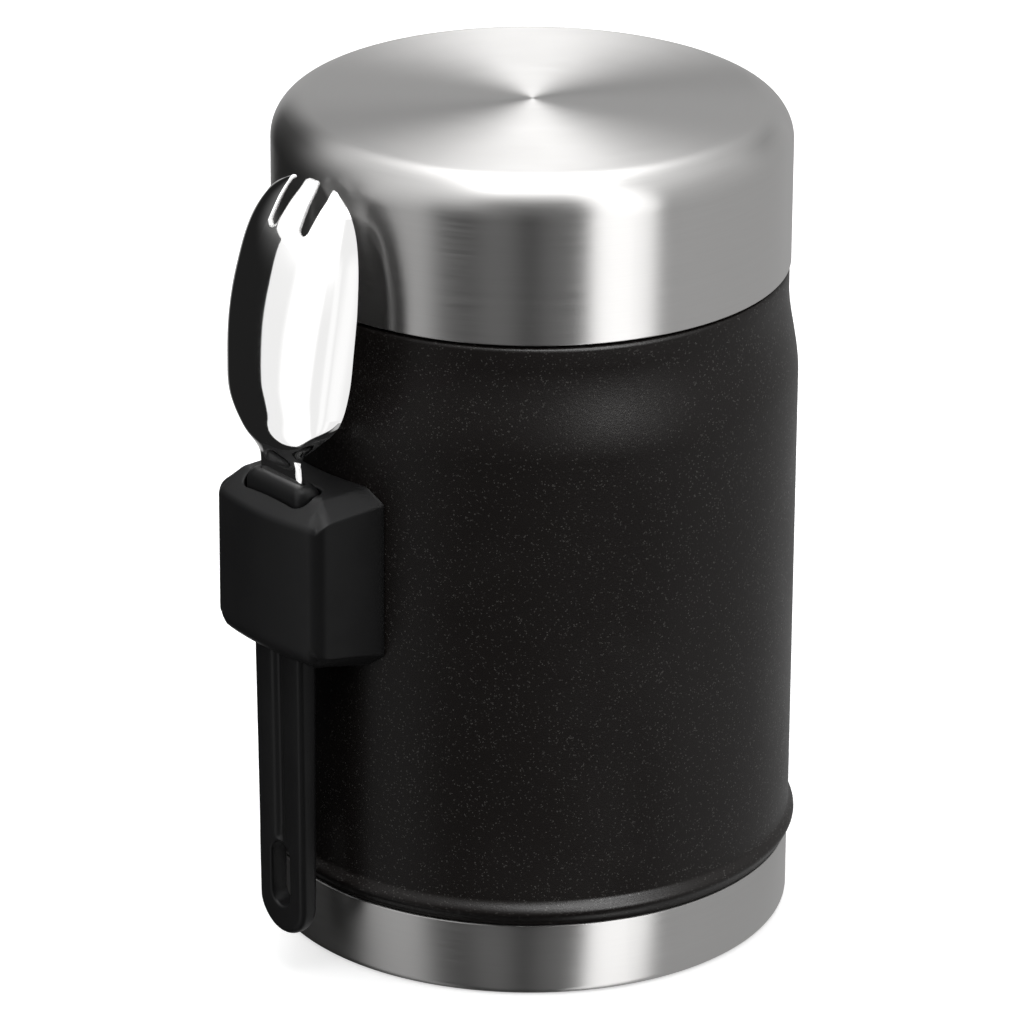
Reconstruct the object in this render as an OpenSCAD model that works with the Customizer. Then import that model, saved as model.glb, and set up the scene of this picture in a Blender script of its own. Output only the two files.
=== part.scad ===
// Insulated food jar: double-walled steel vessel with a screw-on lid and a
// spork that hangs in a holder on its side.
// Millimetres. The origin is on the jar's axis, in the plane it stands on.
// +Z is up, the spork holder is on the -X side.

/* [Jar body] */
// Outside diameter of the straight wall
body_d = 92.5; // [84:0.5:106]
// Height of the ledge that the neck rises from
body_h = 118.3; // [112:0.1:130]
// Thickness of the outer shell
shell_t = 0.6; // [0.4:0.05:0.65]
// How far the band under the lid is set in from the lid's own radius
band_inset = 0.25; // [0.1:0.05:0.6]
// Height of the straight band under the lid
band_h = 4; // [2:0.5:6]
// Rounding of the band's top edge
band_round = 0.8; // [0.7:0.05:1.2]
// Height of the sloping shoulder below the band
shoulder_h = 15.9; // [10:0.1:20]
// Height of the raised bead near the foot
bead_h = 4.6; // [3:0.1:6]
// How far the bead stands out of the wall
bead_proud = 1.1; // [0.6:0.1:1.6]
// Plain wall between the base cup and the bead
bead_lift = 0.4; // [0.3:0.1:2]

/* [Base cup] */
// Height of the bare steel cup round the foot
cup_h = 13.2; // [9:0.1:18]
// How far the cup is set in from the straight wall
cup_inset = 0.15; // [0.05:0.05:0.5]
// Thickness of the cup
cup_t = 0.6; // [0.4:0.05:0.8]
// Rounding of the cup's lower edge
cup_round = 1.4; // [0.8:0.1:2.5]
// Width of the ring that the jar stands on
foot_w = 7; // [4:0.5:12]
// How far the middle of the cup is raised off the table
foot_recess = 1.5; // [0.8:0.1:2]

/* [Vacuum vessel] */
// Thickness of the inner vessel
inner_t = 0.5; // [0.3:0.05:0.7]
// Space under the inner vessel's floor
floor_gap = 11.9; // [10.8:0.1:16]
// Radius of the corner between floor and wall
floor_round = 9; // [4:0.5:14]
// Thickness of the plate that closes the outer shell
bottom_t = 0.6; // [0.4:0.05:0.8]
// Height of that plate above the cup's floor ring
bottom_rise = 3.4; // [2.6:0.1:5]
// Diameter of the raised dimple round the pump-out hole
dimple_d = 16; // [14:0.5:20]
// Depth of the dimple
dimple_h = 2; // [1.5:0.1:2.5]
// Diameter of the pump-out hole
port_d = 3; // [2:0.1:4]
// Diameter of the seal over the pump-out hole
seal_d = 11; // [8:0.5:12]
// Thickness of the seal
seal_t = 1.2; // [0.8:0.1:1.4]
// Diameter of the getter pill
getter_d = 12; // [8:0.5:14]
// Thickness of the getter pill
getter_t = 3; // [2:0.1:4]
// Distance of the getter from the edge of the vessel's flat floor
getter_in = 7.5; // [7:0.5:10]
// Width of the getter's strap
clip_w = 5; // [3:0.5:7]
// Thickness of the getter's strap
clip_t = 0.4; // [0.3:0.05:0.6]
// Length of each foot of the strap
clip_foot = 3.5; // [2:0.5:5]
// Thickness of the reflecting foil
foil_t = 0.15; // [0.1:0.05:0.3]
// Distance that the foil stops short of the vessel's corner and flange
foil_short = 4; // [2:0.5:10]

/* [Neck and thread] */
// How far the neck is set in from the lid's side
neck_set = 4.6; // [4.2:0.1:5.4]
// Width of the neck's double wall, from its outside to the bore of the food cavity
neck_wall = 3.5; // [3:0.1:5]
// Height of the neck above the ledge
neck_h = 17.7; // [16.5:0.1:20]
// Thickness of the rolled lip
lip_t = 0.6; // [0.5:0.05:0.8]
// Rise of the thread in one turn
thread_lead = 8; // [7:0.5:10]
// Height of the neck's thread
thread_h = 1.2; // [0.8:0.1:1.4]
// Width of a thread at its root
thread_w = 2; // [1.6:0.1:2.2]
// Width of a thread at its crest
crest_w = 0.8; // [0.5:0.1:1]
// Turns of each of the neck's two threads
neck_turns = 1; // [0.6:0.05:1.1]
// Turns of each of the lid's two threads
lid_turns = 0.75; // [0.5:0.05:0.8]
// Height of the lowest thread centre above the ledge
thread_z = 3.7; // [3.2:0.1:4]
// Running clearance between the lid's thread and the neck
thread_gap = 0.6; // [0.45:0.05:0.7]

/* [Lid] */
// How far the lid's side is set in from the jar's straight wall
lid_step = 1.65; // [1:0.05:3]
// Height of the lid
lid_h = 28.2; // [28:0.1:34]
// Gap between the lid and the ledge
lid_gap = 0.5; // [0.3:0.05:1]
// Rounding of the lid's top edge
lid_round = 6.5; // [3:0.1:6.7]
// Thickness of the lid's steel shell
lid_t = 0.6; // [0.4:0.05:0.8]
// Wall of the lid's plastic liner
liner_t = 1.5; // [1.2:0.1:1.6]
// How far the liner is set up inside the shell's lower edge
liner_inset = 0.6; // [0.3:0.1:1.5]
// How far the plug reaches into the neck
plug_reach = 10.8; // [8:0.1:14]
// Clearance between the plug and the bore
plug_gap = 0.6; // [0.4:0.05:1]
// Thickness of the plug's cover
cover_t = 1.2; // [0.8:0.1:2]
// Height of the cover's spigot inside the plug
spigot_h = 1.4; // [0.8:0.1:2.5]
// Height of the gasket
gasket_h = 2.2; // [1.6:0.1:3]
// Width of the gasket
gasket_w = 3.2; // [2.4:0.1:3.4]
// How far the foam stops short of the shell's rounding
foam_inset = 2; // [1:0.5:5]

/* [Spork holder] */
// Width of the holder at the jar
holder_w = 28.1; // [27.5:0.1:32]
// Width of the holder at its outer face
holder_front_w = 27.5; // [26.5:0.1:27.5]
// Distance from the jar's wall to the outer face
holder_reach = 14.45; // [14.2:0.05:16]
// Height of the holder's lowest point
holder_z = 57.75; // [50:0.25:62]
// Height of the holder
holder_h = 33.1; // [31:0.1:38]
// Radius of the two outer vertical corners
holder_corner = 3; // [2:0.1:3.5]
// Radius of the curve across the outer face
holder_bow = 48; // [40:1:80]
// Drop of the bevel along the top's sides
bevel_h = 2.7; // [1.5:0.1:3.5]
// Width of that bevel
bevel_w = 3.6; // [2:0.1:4]
// Drop of the bevel along the top's outer edge
brow_h = 4; // [3.6:0.1:5]
// Width of that bevel
brow_w = 4.9; // [4:0.1:5.5]
// Rounding of the lower outer edge
holder_toe = 4.5; // [3.5:0.1:5]
// Width of the bevel along the lower side edges
chin_w = 3.1; // [1.5:0.1:3.5]
// Height of that bevel
chin_h = 2.9; // [1.5:0.1:3.5]
// How far the underside rises from the jar to the outer face
holder_lift = 2.8; // [1:0.1:4]
// Thickness of the plastic back frame
back_t = 2; // [1.6:0.1:2.1]
// Width of the back frame
back_w = 22; // [20:0.1:22]
// Height of the back frame
back_h = 25; // [22:0.5:26]
// How far the back frame stops short of the holder's top
back_drop = 3.25; // [2.8:0.05:4]
// Height of the snap beads on the back frame
snap_h = 8; // [4:0.5:12]
// How far a snap bead stands out
snap_proud = 0.5; // [0.3:0.05:0.6]

/* [Fasteners] */
// Diameter of the welded studs
stud_d = 3; // [2.5:0.1:3.2]
// Diameter of a stud's weld flange
flange_d = 5; // [4:0.1:5.5]
// Thickness of a stud's weld flange
flange_t = 0.8; // [0.5:0.1:1]
// Distance between the studs
stud_pitch = 13; // [10:0.5:14]
// Size of the nuts across their flats
nut_af = 5.5; // [5:0.1:6]
// Thickness of the nuts
nut_t = 1.8; // [1.5:0.1:1.9]
// Diameter of the washers
washer_d = 7; // [6.5:0.1:7.5]
// Thickness of the washers
washer_t = 0.4; // [0.3:0.05:0.5]

/* [Spork] */
// Width of the spork's handle at the top
handle_w = 12.9; // [11:0.1:13.2]
// Thickness of the spork's handle
handle_t = 4.5; // [4:0.1:4.6]
// Length of the handle below its collar
handle_l = 78.9; // [74:0.1:82]
// How much narrower the handle is at its lower end
handle_taper = 0.9; // [0:0.1:2]
// Rounding along the handle's edges
handle_round = 1.2; // [0.6:0.1:1.4]
// Width of the hanging hole in the handle
hole_w = 4.8; // [3.5:0.1:5.5]
// Height of the hanging hole
hole_h = 12; // [8:0.5:14]
// Distance from the handle's lower end to the hole
hole_z = 5.3; // [4:0.1:8]
// Width of the groove down the handle's face
groove_w = 1.2; // [0.8:0.1:1.8]
// Depth of that groove
groove_h = 0.5; // [0.3:0.05:0.7]
// Length of that groove
groove_l = 50; // [30:0.5:54]
// How far the groove stops short of the hole
groove_stop = 0.8; // [0.4:0.1:3]
// Width of the collar at the top of the handle
collar_w = 15.8; // [15.2:0.1:16]
// Thickness of the collar
collar_t = 5.1; // [4.9:0.05:5.2]
// Height of the collar's straight part
collar_h = 3.7; // [3:0.1:4.5]
// Height of the collar's domed top
collar_dome = 2.4; // [1.5:0.1:3]
// Clearance round the handle in its channel
handle_gap = 0.35; // [0.3:0.05:0.4]
// Depth of the collar's seat below the holder's top
seat_h = 4.95; // [4.4:0.05:6]
// Thickness of the spork's steel
steel_t = 1.1; // [0.8:0.05:1.3]
// Width of the tang inside the handle
tang_w = 8; // [6:0.1:9]
// Length of the tang inside the handle
tang_l = 38; // [30:0.5:45]
// Width of the neck between collar and bowl
waist_w = 11; // [10:0.1:11.5]
// Width of the bowl
bowl_w = 31.6; // [28:0.1:33]
// Depth of the bowl, over its back
bowl_h = 7.7; // [5.5:0.1:8]
// Length of the bowl and neck above the collar
bowl_l = 51.1; // [48:0.1:53]
// How far the bowl's tip leans in towards the lid
bowl_lean = 7.7; // [5:0.1:7.9]
// Depth of the two slots between the tines, to the middle of their round ends
slot_h = 6.6; // [5:0.1:9]
// Width of a slot at its open end
slot_w = 4.2; // [3:0.1:4.6]
// Width of a slot at its closed end
slot_end_w = 2.2; // [1.5:0.1:2.5]
// Distance of a slot's closed end from the middle
slot_off = 3.8; // [3.6:0.1:5]
// How much nearer to the middle its open end is
slot_lean = 0.4; // [0:0.1:0.6]

/* [Clearances] */
// Gap between round parts that are pressed or glued together
press_gap = 0.1; // [0.05:0.01:0.15]
// Gap round the gasket, and between the holder and the wall
seat_gap = 0.2; // [0.15:0.05:0.25]
// Gap under the gasket
seal_gap = 0.05; // [0.02:0.01:0.1]

/* [Hidden] */
$fn = 96;
cut = 1;                                    // how far a cutter runs past what it cuts
arc_steps = 10;                             // straight pieces in a drawn arc
turn_steps = 60;                            // straight pieces in one turn of thread
starts = 2;                                 // thread starts

// Jar body
body_r = body_d / 2;
lid_r = body_r - lid_step;
band_r = lid_r - band_inset;
shoulder_z = body_h - band_h - shoulder_h;
cup_r = body_r - cup_inset;
step_r = cup_r - cup_t - press_gap;
foot_z = cup_round;                         // lower edge of the shell, above the cup's rounding
bead_z = cup_h + bead_lift;

// Vacuum vessel
neck_r = lid_r - neck_set;
inner_r = neck_r - neck_wall;               // bore of the food cavity
bottom_z = cup_t + bottom_rise;             // underside of the closing plate
floor_z = bottom_z + bottom_t + floor_gap;  // underside of the inner vessel's floor
neck_z = body_h + neck_h;                   // top of the lip
seal_z = bottom_z + dimple_h;               // underside of the dimple's crown
getter_x = inner_r - floor_round - getter_in;

// Lid
lid_z = body_h + lid_gap;
top_z = lid_z + lid_h;
gasket_z = neck_z + seal_gap;
deck_z = gasket_z + gasket_h + seat_gap;    // underside of the liner's deck
liner_r = lid_r - lid_t - press_gap;
liner_z = lid_z + liner_inset;
plug_r = inner_r - plug_gap;
plug_z = neck_z - plug_reach + cover_t;     // lower edge of the liner's plug
crest_r = neck_r + thread_gap;              // crest of the lid's thread
neck_phase = 0.5 / turn_steps;              // where the neck's threads start, in turns
lid_phase = 12.5 / turn_steps;              // where the lid's threads start, in turns
sink = 0.35;                                // how far a thread is rooted in its wall

// Holder, in its own frame: x runs outwards from the jar's axis
slice_t = 0.02;                             // thickness of the slices that its form is hulled from
plan_x = 44;                                // where its plan starts, inside the jar's wall
slot_round = 1.5;                           // corner radius of the slot in its top
holder_top = holder_z + holder_h;
wall_r = body_r + seat_gap;
back_r = wall_r + back_t;                   // outer face of the back frame
stud_end = back_r + washer_t + nut_t + 0.4;
channel_t = handle_t + 2 * handle_gap;
spork_r = stud_end + seat_gap + 1 + channel_t / 2;
mid_z = holder_top - back_drop - back_h / 2;
pocket_r = stud_end + seat_gap;             // outer wall of the pocket behind the channel
pocket_w = back_w + 2 * seat_gap;
front_r = body_r + holder_reach;

// Spork
seat_z = holder_top - seat_h;
handle_z = seat_z - handle_l;
waist_z = seat_z + collar_h + collar_dome;
handle_end_w = handle_w - handle_taper;

function arc(cx, cy, r, a0, a1, n = arc_steps) =
    [for (i = [0:n]) let (a = a0 + (a1 - a0) * i / n) [cx + r * cos(a), cy + r * sin(a)]];
function smooth(u) = u * u * (3 - 2 * u);
function lerp(a, b, u) = a + (b - a) * u;

// ---- Jar -------------------------------------------------------------

// One side of the outer shell from foot to lip, drawn `off` inside its outer face
function shell_side(off) = concat(
    [[step_r - off, foot_z], [step_r - off, cup_h - off / 2]],
    [for (i = [0:12]) let (u = i / 12)
        [body_r - cup_inset * (1 - u) - off + bead_proud * (1 - cos(360 * u)) / 2, bead_z + bead_h * u]],
    [for (i = [0:12]) let (u = i / 12)
        [lerp(body_r, band_r, smooth(u)) - off, shoulder_z + shoulder_h * u]],
    [for (p = arc(band_r - band_round, body_h - band_round, band_round - off, 0, 90, 6)) p],
    [[neck_r - off, body_h - off], [neck_r - off, neck_z - lip_t]]);

module outer_shell() color([0.03, 0.03, 0.03]) {
    outline = concat(shell_side(0), [for (i = [len(shell_side(0)) - 1:-1:0]) shell_side(shell_t)[i]]);
    union() {
        rotate_extrude() polygon(outline);
        threads(neck_r, thread_h, neck_turns, neck_phase, body_h + thread_z);
    }
}

module inner_vessel() color([0.75, 0.75, 0.74]) {
    out_r = inner_r + inner_t;
    rotate_extrude() polygon(concat(
        [[0, floor_z]],
        arc(out_r - floor_round - inner_t, floor_z + floor_round + inner_t, floor_round + inner_t, -90, 0),
        [[out_r, neck_z - lip_t], [neck_r, neck_z - lip_t]],
        arc(neck_r - lip_t / 2, neck_z - lip_t / 2, lip_t / 2, 0, 90, 4),
        arc(inner_r + lip_t / 2, neck_z - lip_t / 2, lip_t / 2, 90, 180, 4),
        arc(inner_r - floor_round, floor_z + floor_round + inner_t, floor_round, 0, -90),
        [[0, floor_z + inner_t]]));
}

module shell_bottom() color([0.62, 0.62, 0.61]) {
    rim_r = step_r - shell_t - press_gap;
    crown_r = dimple_d / 2;
    rotate_extrude() polygon([
        [port_d / 2, seal_z], [crown_r, seal_z], [crown_r + dimple_h, bottom_z],
        [rim_r - bottom_t, bottom_z], [rim_r - bottom_t, foot_z], [rim_r, foot_z],
        [rim_r, bottom_z + bottom_t], [crown_r + dimple_h, bottom_z + bottom_t],
        [crown_r, seal_z + bottom_t], [port_d / 2, seal_z + bottom_t]]);
}

module vacuum_seal() color([0.2, 0.2, 0.21])
    rotate_extrude() polygon([
        [0, seal_z - seal_t], [seal_d / 2 - seal_t / 2, seal_z - seal_t], [seal_d / 2, seal_z],
        [port_d / 2 - press_gap, seal_z], [port_d / 2 - press_gap, seal_z + bottom_t],
        [0, seal_z + bottom_t]]);

module getter() color([0.35, 0.35, 0.37])
    translate([getter_x, 0, floor_z - getter_t]) cylinder(d = getter_d, h = getter_t);

module getter_clip() color([0.6, 0.6, 0.6]) {
    leg = getter_d / 2 + press_gap;
    reach = leg + clip_t + clip_foot;
    translate([getter_x, clip_w / 2, floor_z]) rotate([90, 0, 0]) linear_extrude(clip_w) polygon([
        [-reach, 0], [-reach, -clip_t], [-leg - clip_t, -clip_t], [-leg - clip_t, -getter_t - clip_t],
        [leg + clip_t, -getter_t - clip_t], [leg + clip_t, -clip_t], [reach, -clip_t], [reach, 0],
        [leg, 0], [leg, -getter_t], [-leg, -getter_t], [-leg, 0]]);
}

module reflector_foil() color([0.72, 0.4, 0.25]) {
    foil_r = inner_r + inner_t + press_gap;
    low = floor_z + floor_round + foil_short;
    translate([0, 0, low]) difference() {
        cylinder(r = foil_r + foil_t, h = neck_z - foil_short - low);
        translate([0, 0, -cut]) cylinder(r = foil_r, h = neck_z);
    }
}

module base_cup() color([0.66, 0.66, 0.65]) {
    foot_in = cup_r - cup_round - foot_w;
    raised_r = foot_in - foot_recess;
    rotate_extrude() polygon(concat(
        [[0, foot_recess], [raised_r, foot_recess], [foot_in, 0]],
        arc(cup_r - cup_round, cup_round, cup_round, -90, 0, 6),
        [[cup_r, cup_h - cup_t / 2], [cup_r - cup_t / 2, cup_h], [cup_r - cup_t, cup_h]],
        arc(cup_r - cup_round, cup_round, cup_round - cup_t, 0, -90, 6),
        [[foot_in, cup_t], [raised_r, foot_recess + cup_t], [0, foot_recess + cup_t]]));
}

// ---- Thread ----------------------------------------------------------

// Two-start right-hand ridges on a wall of radius `wall`, rooted `sink` deep in it, with a crest
// `rise` away from it. A negative rise points inwards. The helix passes height `z` at angle 0 and
// its ridge starts `phase` turns further on.
module threads(wall, rise, turns, phase, z)
    for (s = [0:starts - 1])
        rotate([0, 0, 360 * (s / starts + phase)])
            thread_ridge(wall, rise, turns, z + thread_lead * phase);

module thread_ridge(wall, rise, turns, z0) {
    n = round(turn_steps * turns);
    fade = 5;                               // steps over which a ridge runs out into its wall
    root = wall - sign(rise) * sink;
    rings = [for (i = [0:n]) let (
            a = 360 * turns * i / n,
            z = z0 + thread_lead * turns * i / n,
            crest = lerp(root, wall + rise, 0.1 + 0.9 * smooth(min(1, min(i, n - i) / fade))))
        [for (p = [[root, -thread_w / 2], [crest, -crest_w / 2], [crest, crest_w / 2], [root, thread_w / 2]])
            [p[0] * cos(a), p[0] * sin(a), z + p[1]]]];
    m = 4;
    flip = rise < 0;
    faces = concat(
        [[for (j = [0:m - 1]) flip ? j : m - 1 - j]],
        [for (i = [0:n - 1]) for (j = [0:m - 1])
            let (a = i * m + j, b = i * m + (j + 1) % m, c = b + m, d = a + m)
            flip ? [d, c, b, a] : [a, b, c, d]],
        [[for (j = [0:m - 1]) n * m + (flip ? m - 1 - j : j)]]);
    polyhedron([for (r = rings) for (p = r) p], faces, convexity = 6);
}

// ---- Lid -------------------------------------------------------------

module lid_shell() color([0.66, 0.66, 0.65])
    rotate_extrude() polygon(concat(
        [[0, top_z - lid_t]],
        arc(lid_r - lid_round, top_z - lid_round, lid_round - lid_t, 90, 0),
        [[lid_r - lid_t, lid_z], [lid_r - lid_t / 2, lid_z], [lid_r, lid_z + lid_t / 2]],
        arc(lid_r - lid_round, top_z - lid_round, lid_round, 0, 90, 14),
        [[0, top_z]]));

module lid_liner() color([0.08, 0.08, 0.085]) {
    skirt_in = liner_r - liner_t;
    plug_in = plug_r - liner_t;
    union() {
        rotate_extrude() polygon([
            [liner_r, liner_z], [liner_r, deck_z + liner_t], [plug_in, deck_z + liner_t],
            [plug_in, plug_z], [plug_r, plug_z], [plug_r, deck_z],
            [skirt_in, deck_z], [skirt_in, liner_z]]);
        threads(skirt_in, crest_r - skirt_in, lid_turns, lid_phase,
            body_h + thread_z - thread_lead / starts / 2);
    }
}

module lid_insulation() color([0.9, 0.88, 0.8]) {
    fill_r = plug_r - liner_t - press_gap;
    cap_r = lid_r - lid_round - foam_inset;
    low = plug_z + spigot_h;
    rotate_extrude() polygon([
        [0, low], [fill_r, low], [fill_r, deck_z + liner_t], [cap_r, deck_z + liner_t],
        [cap_r, top_z - lid_t], [0, top_z - lid_t]]);
}

module plug_cover() color([0.1, 0.1, 0.105]) {
    spigot_r = plug_r - liner_t - press_gap;
    rotate_extrude() polygon([
        [0, plug_z - cover_t], [plug_r - cover_t / 2, plug_z - cover_t], [plug_r, plug_z - cover_t / 2],
        [plug_r, plug_z], [spigot_r, plug_z], [spigot_r, plug_z + spigot_h], [0, plug_z + spigot_h]]);
}

module lid_gasket() color([0.55, 0.56, 0.57]) {
    low_r = plug_r + seat_gap;
    edge = 0.4;
    rotate_extrude() polygon([
        [low_r, gasket_z + edge], [low_r + edge, gasket_z], [low_r + gasket_w - edge, gasket_z],
        [low_r + gasket_w, gasket_z + edge], [low_r + gasket_w, gasket_z + gasket_h - edge],
        [low_r + gasket_w - edge, gasket_z + gasket_h], [low_r + edge, gasket_z + gasket_h],
        [low_r, gasket_z + gasket_h - edge]]);
}

// ---- Holder ----------------------------------------------------------

// Turns a part drawn with x outwards from the axis to the holder's side of the jar
module holder_side() rotate([0, 0, 180]) children();

module rounded_box(w, t, r) union() {
    square([t, w - 2 * r], center = true);
    square([t - 2 * r, w], center = true);
    for (x = [-1, 1]) for (y = [-1, 1])
        translate([x * (t / 2 - r), y * (w / 2 - r)]) circle(r);
}

// Plan of the housing, shrunk by `side` at the sides and by `front` at the outer face
module holder_plan(side, front) {
    corner = max(holder_corner - min(side, front) / 2, 0.6);
    bow_x = front_r - front - holder_bow;
    corner_y = holder_front_w / 2 - side - corner;
    corner_x = bow_x + sqrt(pow(holder_bow - corner, 2) - pow(corner_y, 2));
    face_a = atan2(corner_y, corner_x - bow_x);
    back_y = holder_w / 2 - side;
    polygon(concat(
        [[plan_x, -back_y]],
        arc(corner_x, -corner_y, corner, -90, -face_a, 5),
        [for (i = [-2:2]) [bow_x + holder_bow * cos(face_a * i / 3), holder_bow * sin(face_a * i / 3)]],
        arc(corner_x, corner_y, corner, face_a, 90, 5),
        [[plan_x, back_y]]));
}

// Thin slice of the form that rises by `lift` from the jar to the outer face
module holder_slice(z, lift, side, front) let (tilt = atan(lift / (front_r - front - plan_x)))
    translate([plan_x, 0, z]) rotate([0, -tilt, 0]) translate([-plan_x, 0, 0])
        linear_extrude(slice_t) holder_plan(side, front);

module holder_form() hull() {
    for (u = [0, 0.35, 0.7, 1]) holder_slice(
        holder_top - slice_t - bevel_h * u,
        (bevel_h - brow_h) * u,
        bevel_w * (1 - u),
        brow_w * pow(1 - u, 1.15));
    for (a = [0, 22.5, 45, 67.5, 90]) let (rise = chin_h * lerp(a / 90, 1 - cos(a), 0.5)) holder_slice(
        holder_z + rise,
        holder_lift + holder_toe * (1 - cos(a)) - rise,
        chin_w * (1 - lerp(a / 90, sin(a), 0.5)),
        holder_toe * (1 - sin(a)));
}

module channel_cut(z0, z1)
    translate([spork_r, 0, z0]) linear_extrude(z1 - z0)
        rounded_box(handle_w + 2 * handle_gap, channel_t, handle_round + handle_gap);

module collar_cut() {
    w = collar_w + 2 * handle_gap;
    t = collar_t + 2 * handle_gap;
    translate([spork_r, 0, seat_z]) linear_extrude(seat_h + cut) rounded_box(w, t, slot_round);
}

module snap_beads(grow)
    for (y = [-1, 1])
        translate([back_r - snap_proud - 0.2, y * back_w / 2, mid_z - snap_h / 2 - grow])
            cylinder(r = snap_proud + grow, h = snap_h + 2 * grow);

module holder_housing() color([0.045, 0.045, 0.048]) holder_side() difference() {
    holder_form();
    translate([0, 0, holder_z - cut]) cylinder(r = body_r + press_gap, h = holder_h + 2 * cut, $fn = 192);
    translate([0, -pocket_w / 2, mid_z - back_h / 2 - seat_gap])
        cube([pocket_r, pocket_w, back_h + 2 * seat_gap]);
    snap_beads(seat_gap);
    channel_cut(holder_z - cut, holder_top);
    collar_cut();
}

module holder_back() color([0.06, 0.06, 0.062]) holder_side() difference() {
    union() {
        translate([0, -back_w / 2, mid_z - back_h / 2]) cube([back_r, back_w, back_h]);
        snap_beads(0);
    }
    translate([0, 0, holder_z]) cylinder(r = wall_r, h = holder_h, $fn = 192);
    at_studs() cylinder(d = stud_d + 2 * seat_gap, h = front_r);
    at_studs() cylinder(d = flange_d + 2 * seat_gap, h = body_r + flange_t + seat_gap);
}

module at_studs()
    for (s = [-1, 1])
        translate([0, 0, mid_z + s * stud_pitch / 2]) rotate([0, 90, 0]) children();

module weld_studs() color([0.6, 0.6, 0.6]) holder_side() difference() {
    at_studs() union() {
        cylinder(d = stud_d, h = stud_end);
        cylinder(d = flange_d, h = body_r + flange_t);
    }
    translate([0, 0, holder_z]) cylinder(r = body_r + press_gap / 2, h = holder_h, $fn = 192);
}

module holder_washers() color([0.62, 0.62, 0.62]) holder_side()
    at_studs() translate([0, 0, back_r]) difference() {
        cylinder(d = washer_d, h = washer_t);
        translate([0, 0, -cut]) cylinder(d = stud_d + 2 * seat_gap, h = washer_t + 2 * cut);
    }

module holder_nuts() color([0.6, 0.6, 0.6]) holder_side()
    at_studs() translate([0, 0, back_r + washer_t]) difference() {
        cylinder(d = nut_af / cos(30), h = nut_t, $fn = 6);
        translate([0, 0, -cut]) cylinder(d = stud_d + 2 * press_gap, h = nut_t + 2 * cut);
    }

// ---- Spork -----------------------------------------------------------

// The steel from collar to tip, as stations up its length: how far up, then half-width, depth and
// lean, each as a share of its largest value
stations = [
    [0.00, 0.00, 0.04, 0.00], [0.05, 0.01, 0.17, 0.00], [0.10, 0.09, 0.39, 0.01],
    [0.155, 0.40, 0.62, 0.09], [0.24, 0.81, 0.82, 0.22], [0.355, 0.95, 1.00, 0.38],
    [0.515, 1.00, 0.99, 0.48], [0.66, 0.96, 0.91, 0.62], [0.82, 0.81, 0.73, 0.79],
    [0.92, 0.55, 0.44, 0.91], [0.975, 0.17, 0.18, 0.97], [1.00, -0.23, 0.09, 1.00]
];
rows = 34;
columns = 18;

function spline(k, u, i = 0) =
    i < len(stations) - 2 && u > stations[i + 1][0] ? spline(k, u, i + 1) :
    let (
        a = stations[i], b = stations[i + 1], before = stations[max(i - 1, 0)],
        after = stations[min(i + 2, len(stations) - 1)], span = b[0] - a[0], s = (u - a[0]) / span,
        slope_a = (b[k] - before[k]) / (b[0] - before[0]) * span,
        slope_b = (after[k] - a[k]) / (after[0] - a[0]) * span)
    (2 * pow(s, 3) - 3 * s * s + 1) * a[k] + (pow(s, 3) - 2 * s * s + s) * slope_a
        + (3 * s * s - 2 * pow(s, 3)) * b[k] + (pow(s, 3) - s * s) * slope_b;

// One cross-section: the back of the bowl from one rim to the other, then its inside back again
function bowl_ring(u) = let (
        w = waist_w / 2 + (bowl_w - waist_w) / 2 * spline(1, u),
        d = bowl_h * spline(2, u),
        rim = spork_r + steel_t / 2 - bowl_lean * spline(3, u),
        z = waist_z + bowl_l * u,
        d_in = max(d - steel_t, 0.2 * d),
        drop = steel_t - (d - d_in),
        edge = lerp(steel_t, 0.3, drop / steel_t))
    concat(
        [for (j = [0:columns]) let (a = 180 * j / columns)
            [rim + d * sin(a), w * cos(a), z]],
        [for (j = [columns:-1:0]) let (a = 180 * j / columns)
            [rim - drop + d_in * sin(a), (w - edge) * cos(a), z]]);

module bowl_body() {
    rings = [for (i = [0:rows]) bowl_ring(i / rows)];
    m = len(rings[0]);
    faces = concat(
        [for (j = [0:columns - 1]) [m - 1 - j, m - 2 - j, j + 1, j]],
        [for (i = [0:rows - 1]) for (j = [0:m - 1])
            let (a = i * m + j, b = i * m + (j + 1) % m) [b, b + m, a + m, a]],
        [for (j = [0:columns - 1]) let (o = rows * m) [o + j, o + j + 1, o + m - 2 - j, o + m - 1 - j]]);
    polyhedron([for (r = rings) for (p = r) p], faces, convexity = 8);
}

module tine_slots()
    for (s = [-1, 1]) let (top = waist_z + bowl_l + cut, end = waist_z + bowl_l - slot_h)
        rotate([90, 0, 90]) linear_extrude(spork_r + bowl_h) union() {
            polygon([
                [s * (slot_off - slot_end_w / 2), end], [s * (slot_off + slot_end_w / 2), end],
                [s * (slot_off - slot_lean + slot_w / 2), top], [s * (slot_off - slot_lean - slot_w / 2), top]]);
            translate([s * slot_off, end]) circle(d = slot_end_w);
        }

module tang() translate([spork_r - steel_t / 2, 0, 0]) union() {
    translate([0, -tang_w / 2, seat_z - tang_l]) cube([steel_t, tang_w, tang_l + cut]);
    translate([0, -waist_w / 2, seat_z + cut]) cube([steel_t, waist_w, waist_z - seat_z - cut]);
}

module spork_bowl() color([0.8, 0.8, 0.79]) holder_side() union() {
    difference() {
        bowl_body();
        tine_slots();
    }
    tang();
}

module spork_handle() color([0.045, 0.045, 0.048]) holder_side() difference() {
    union() {
        handle_blade();
        handle_collar();
    }
    tang();
    handle_hole();
    handle_groove();
}

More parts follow.
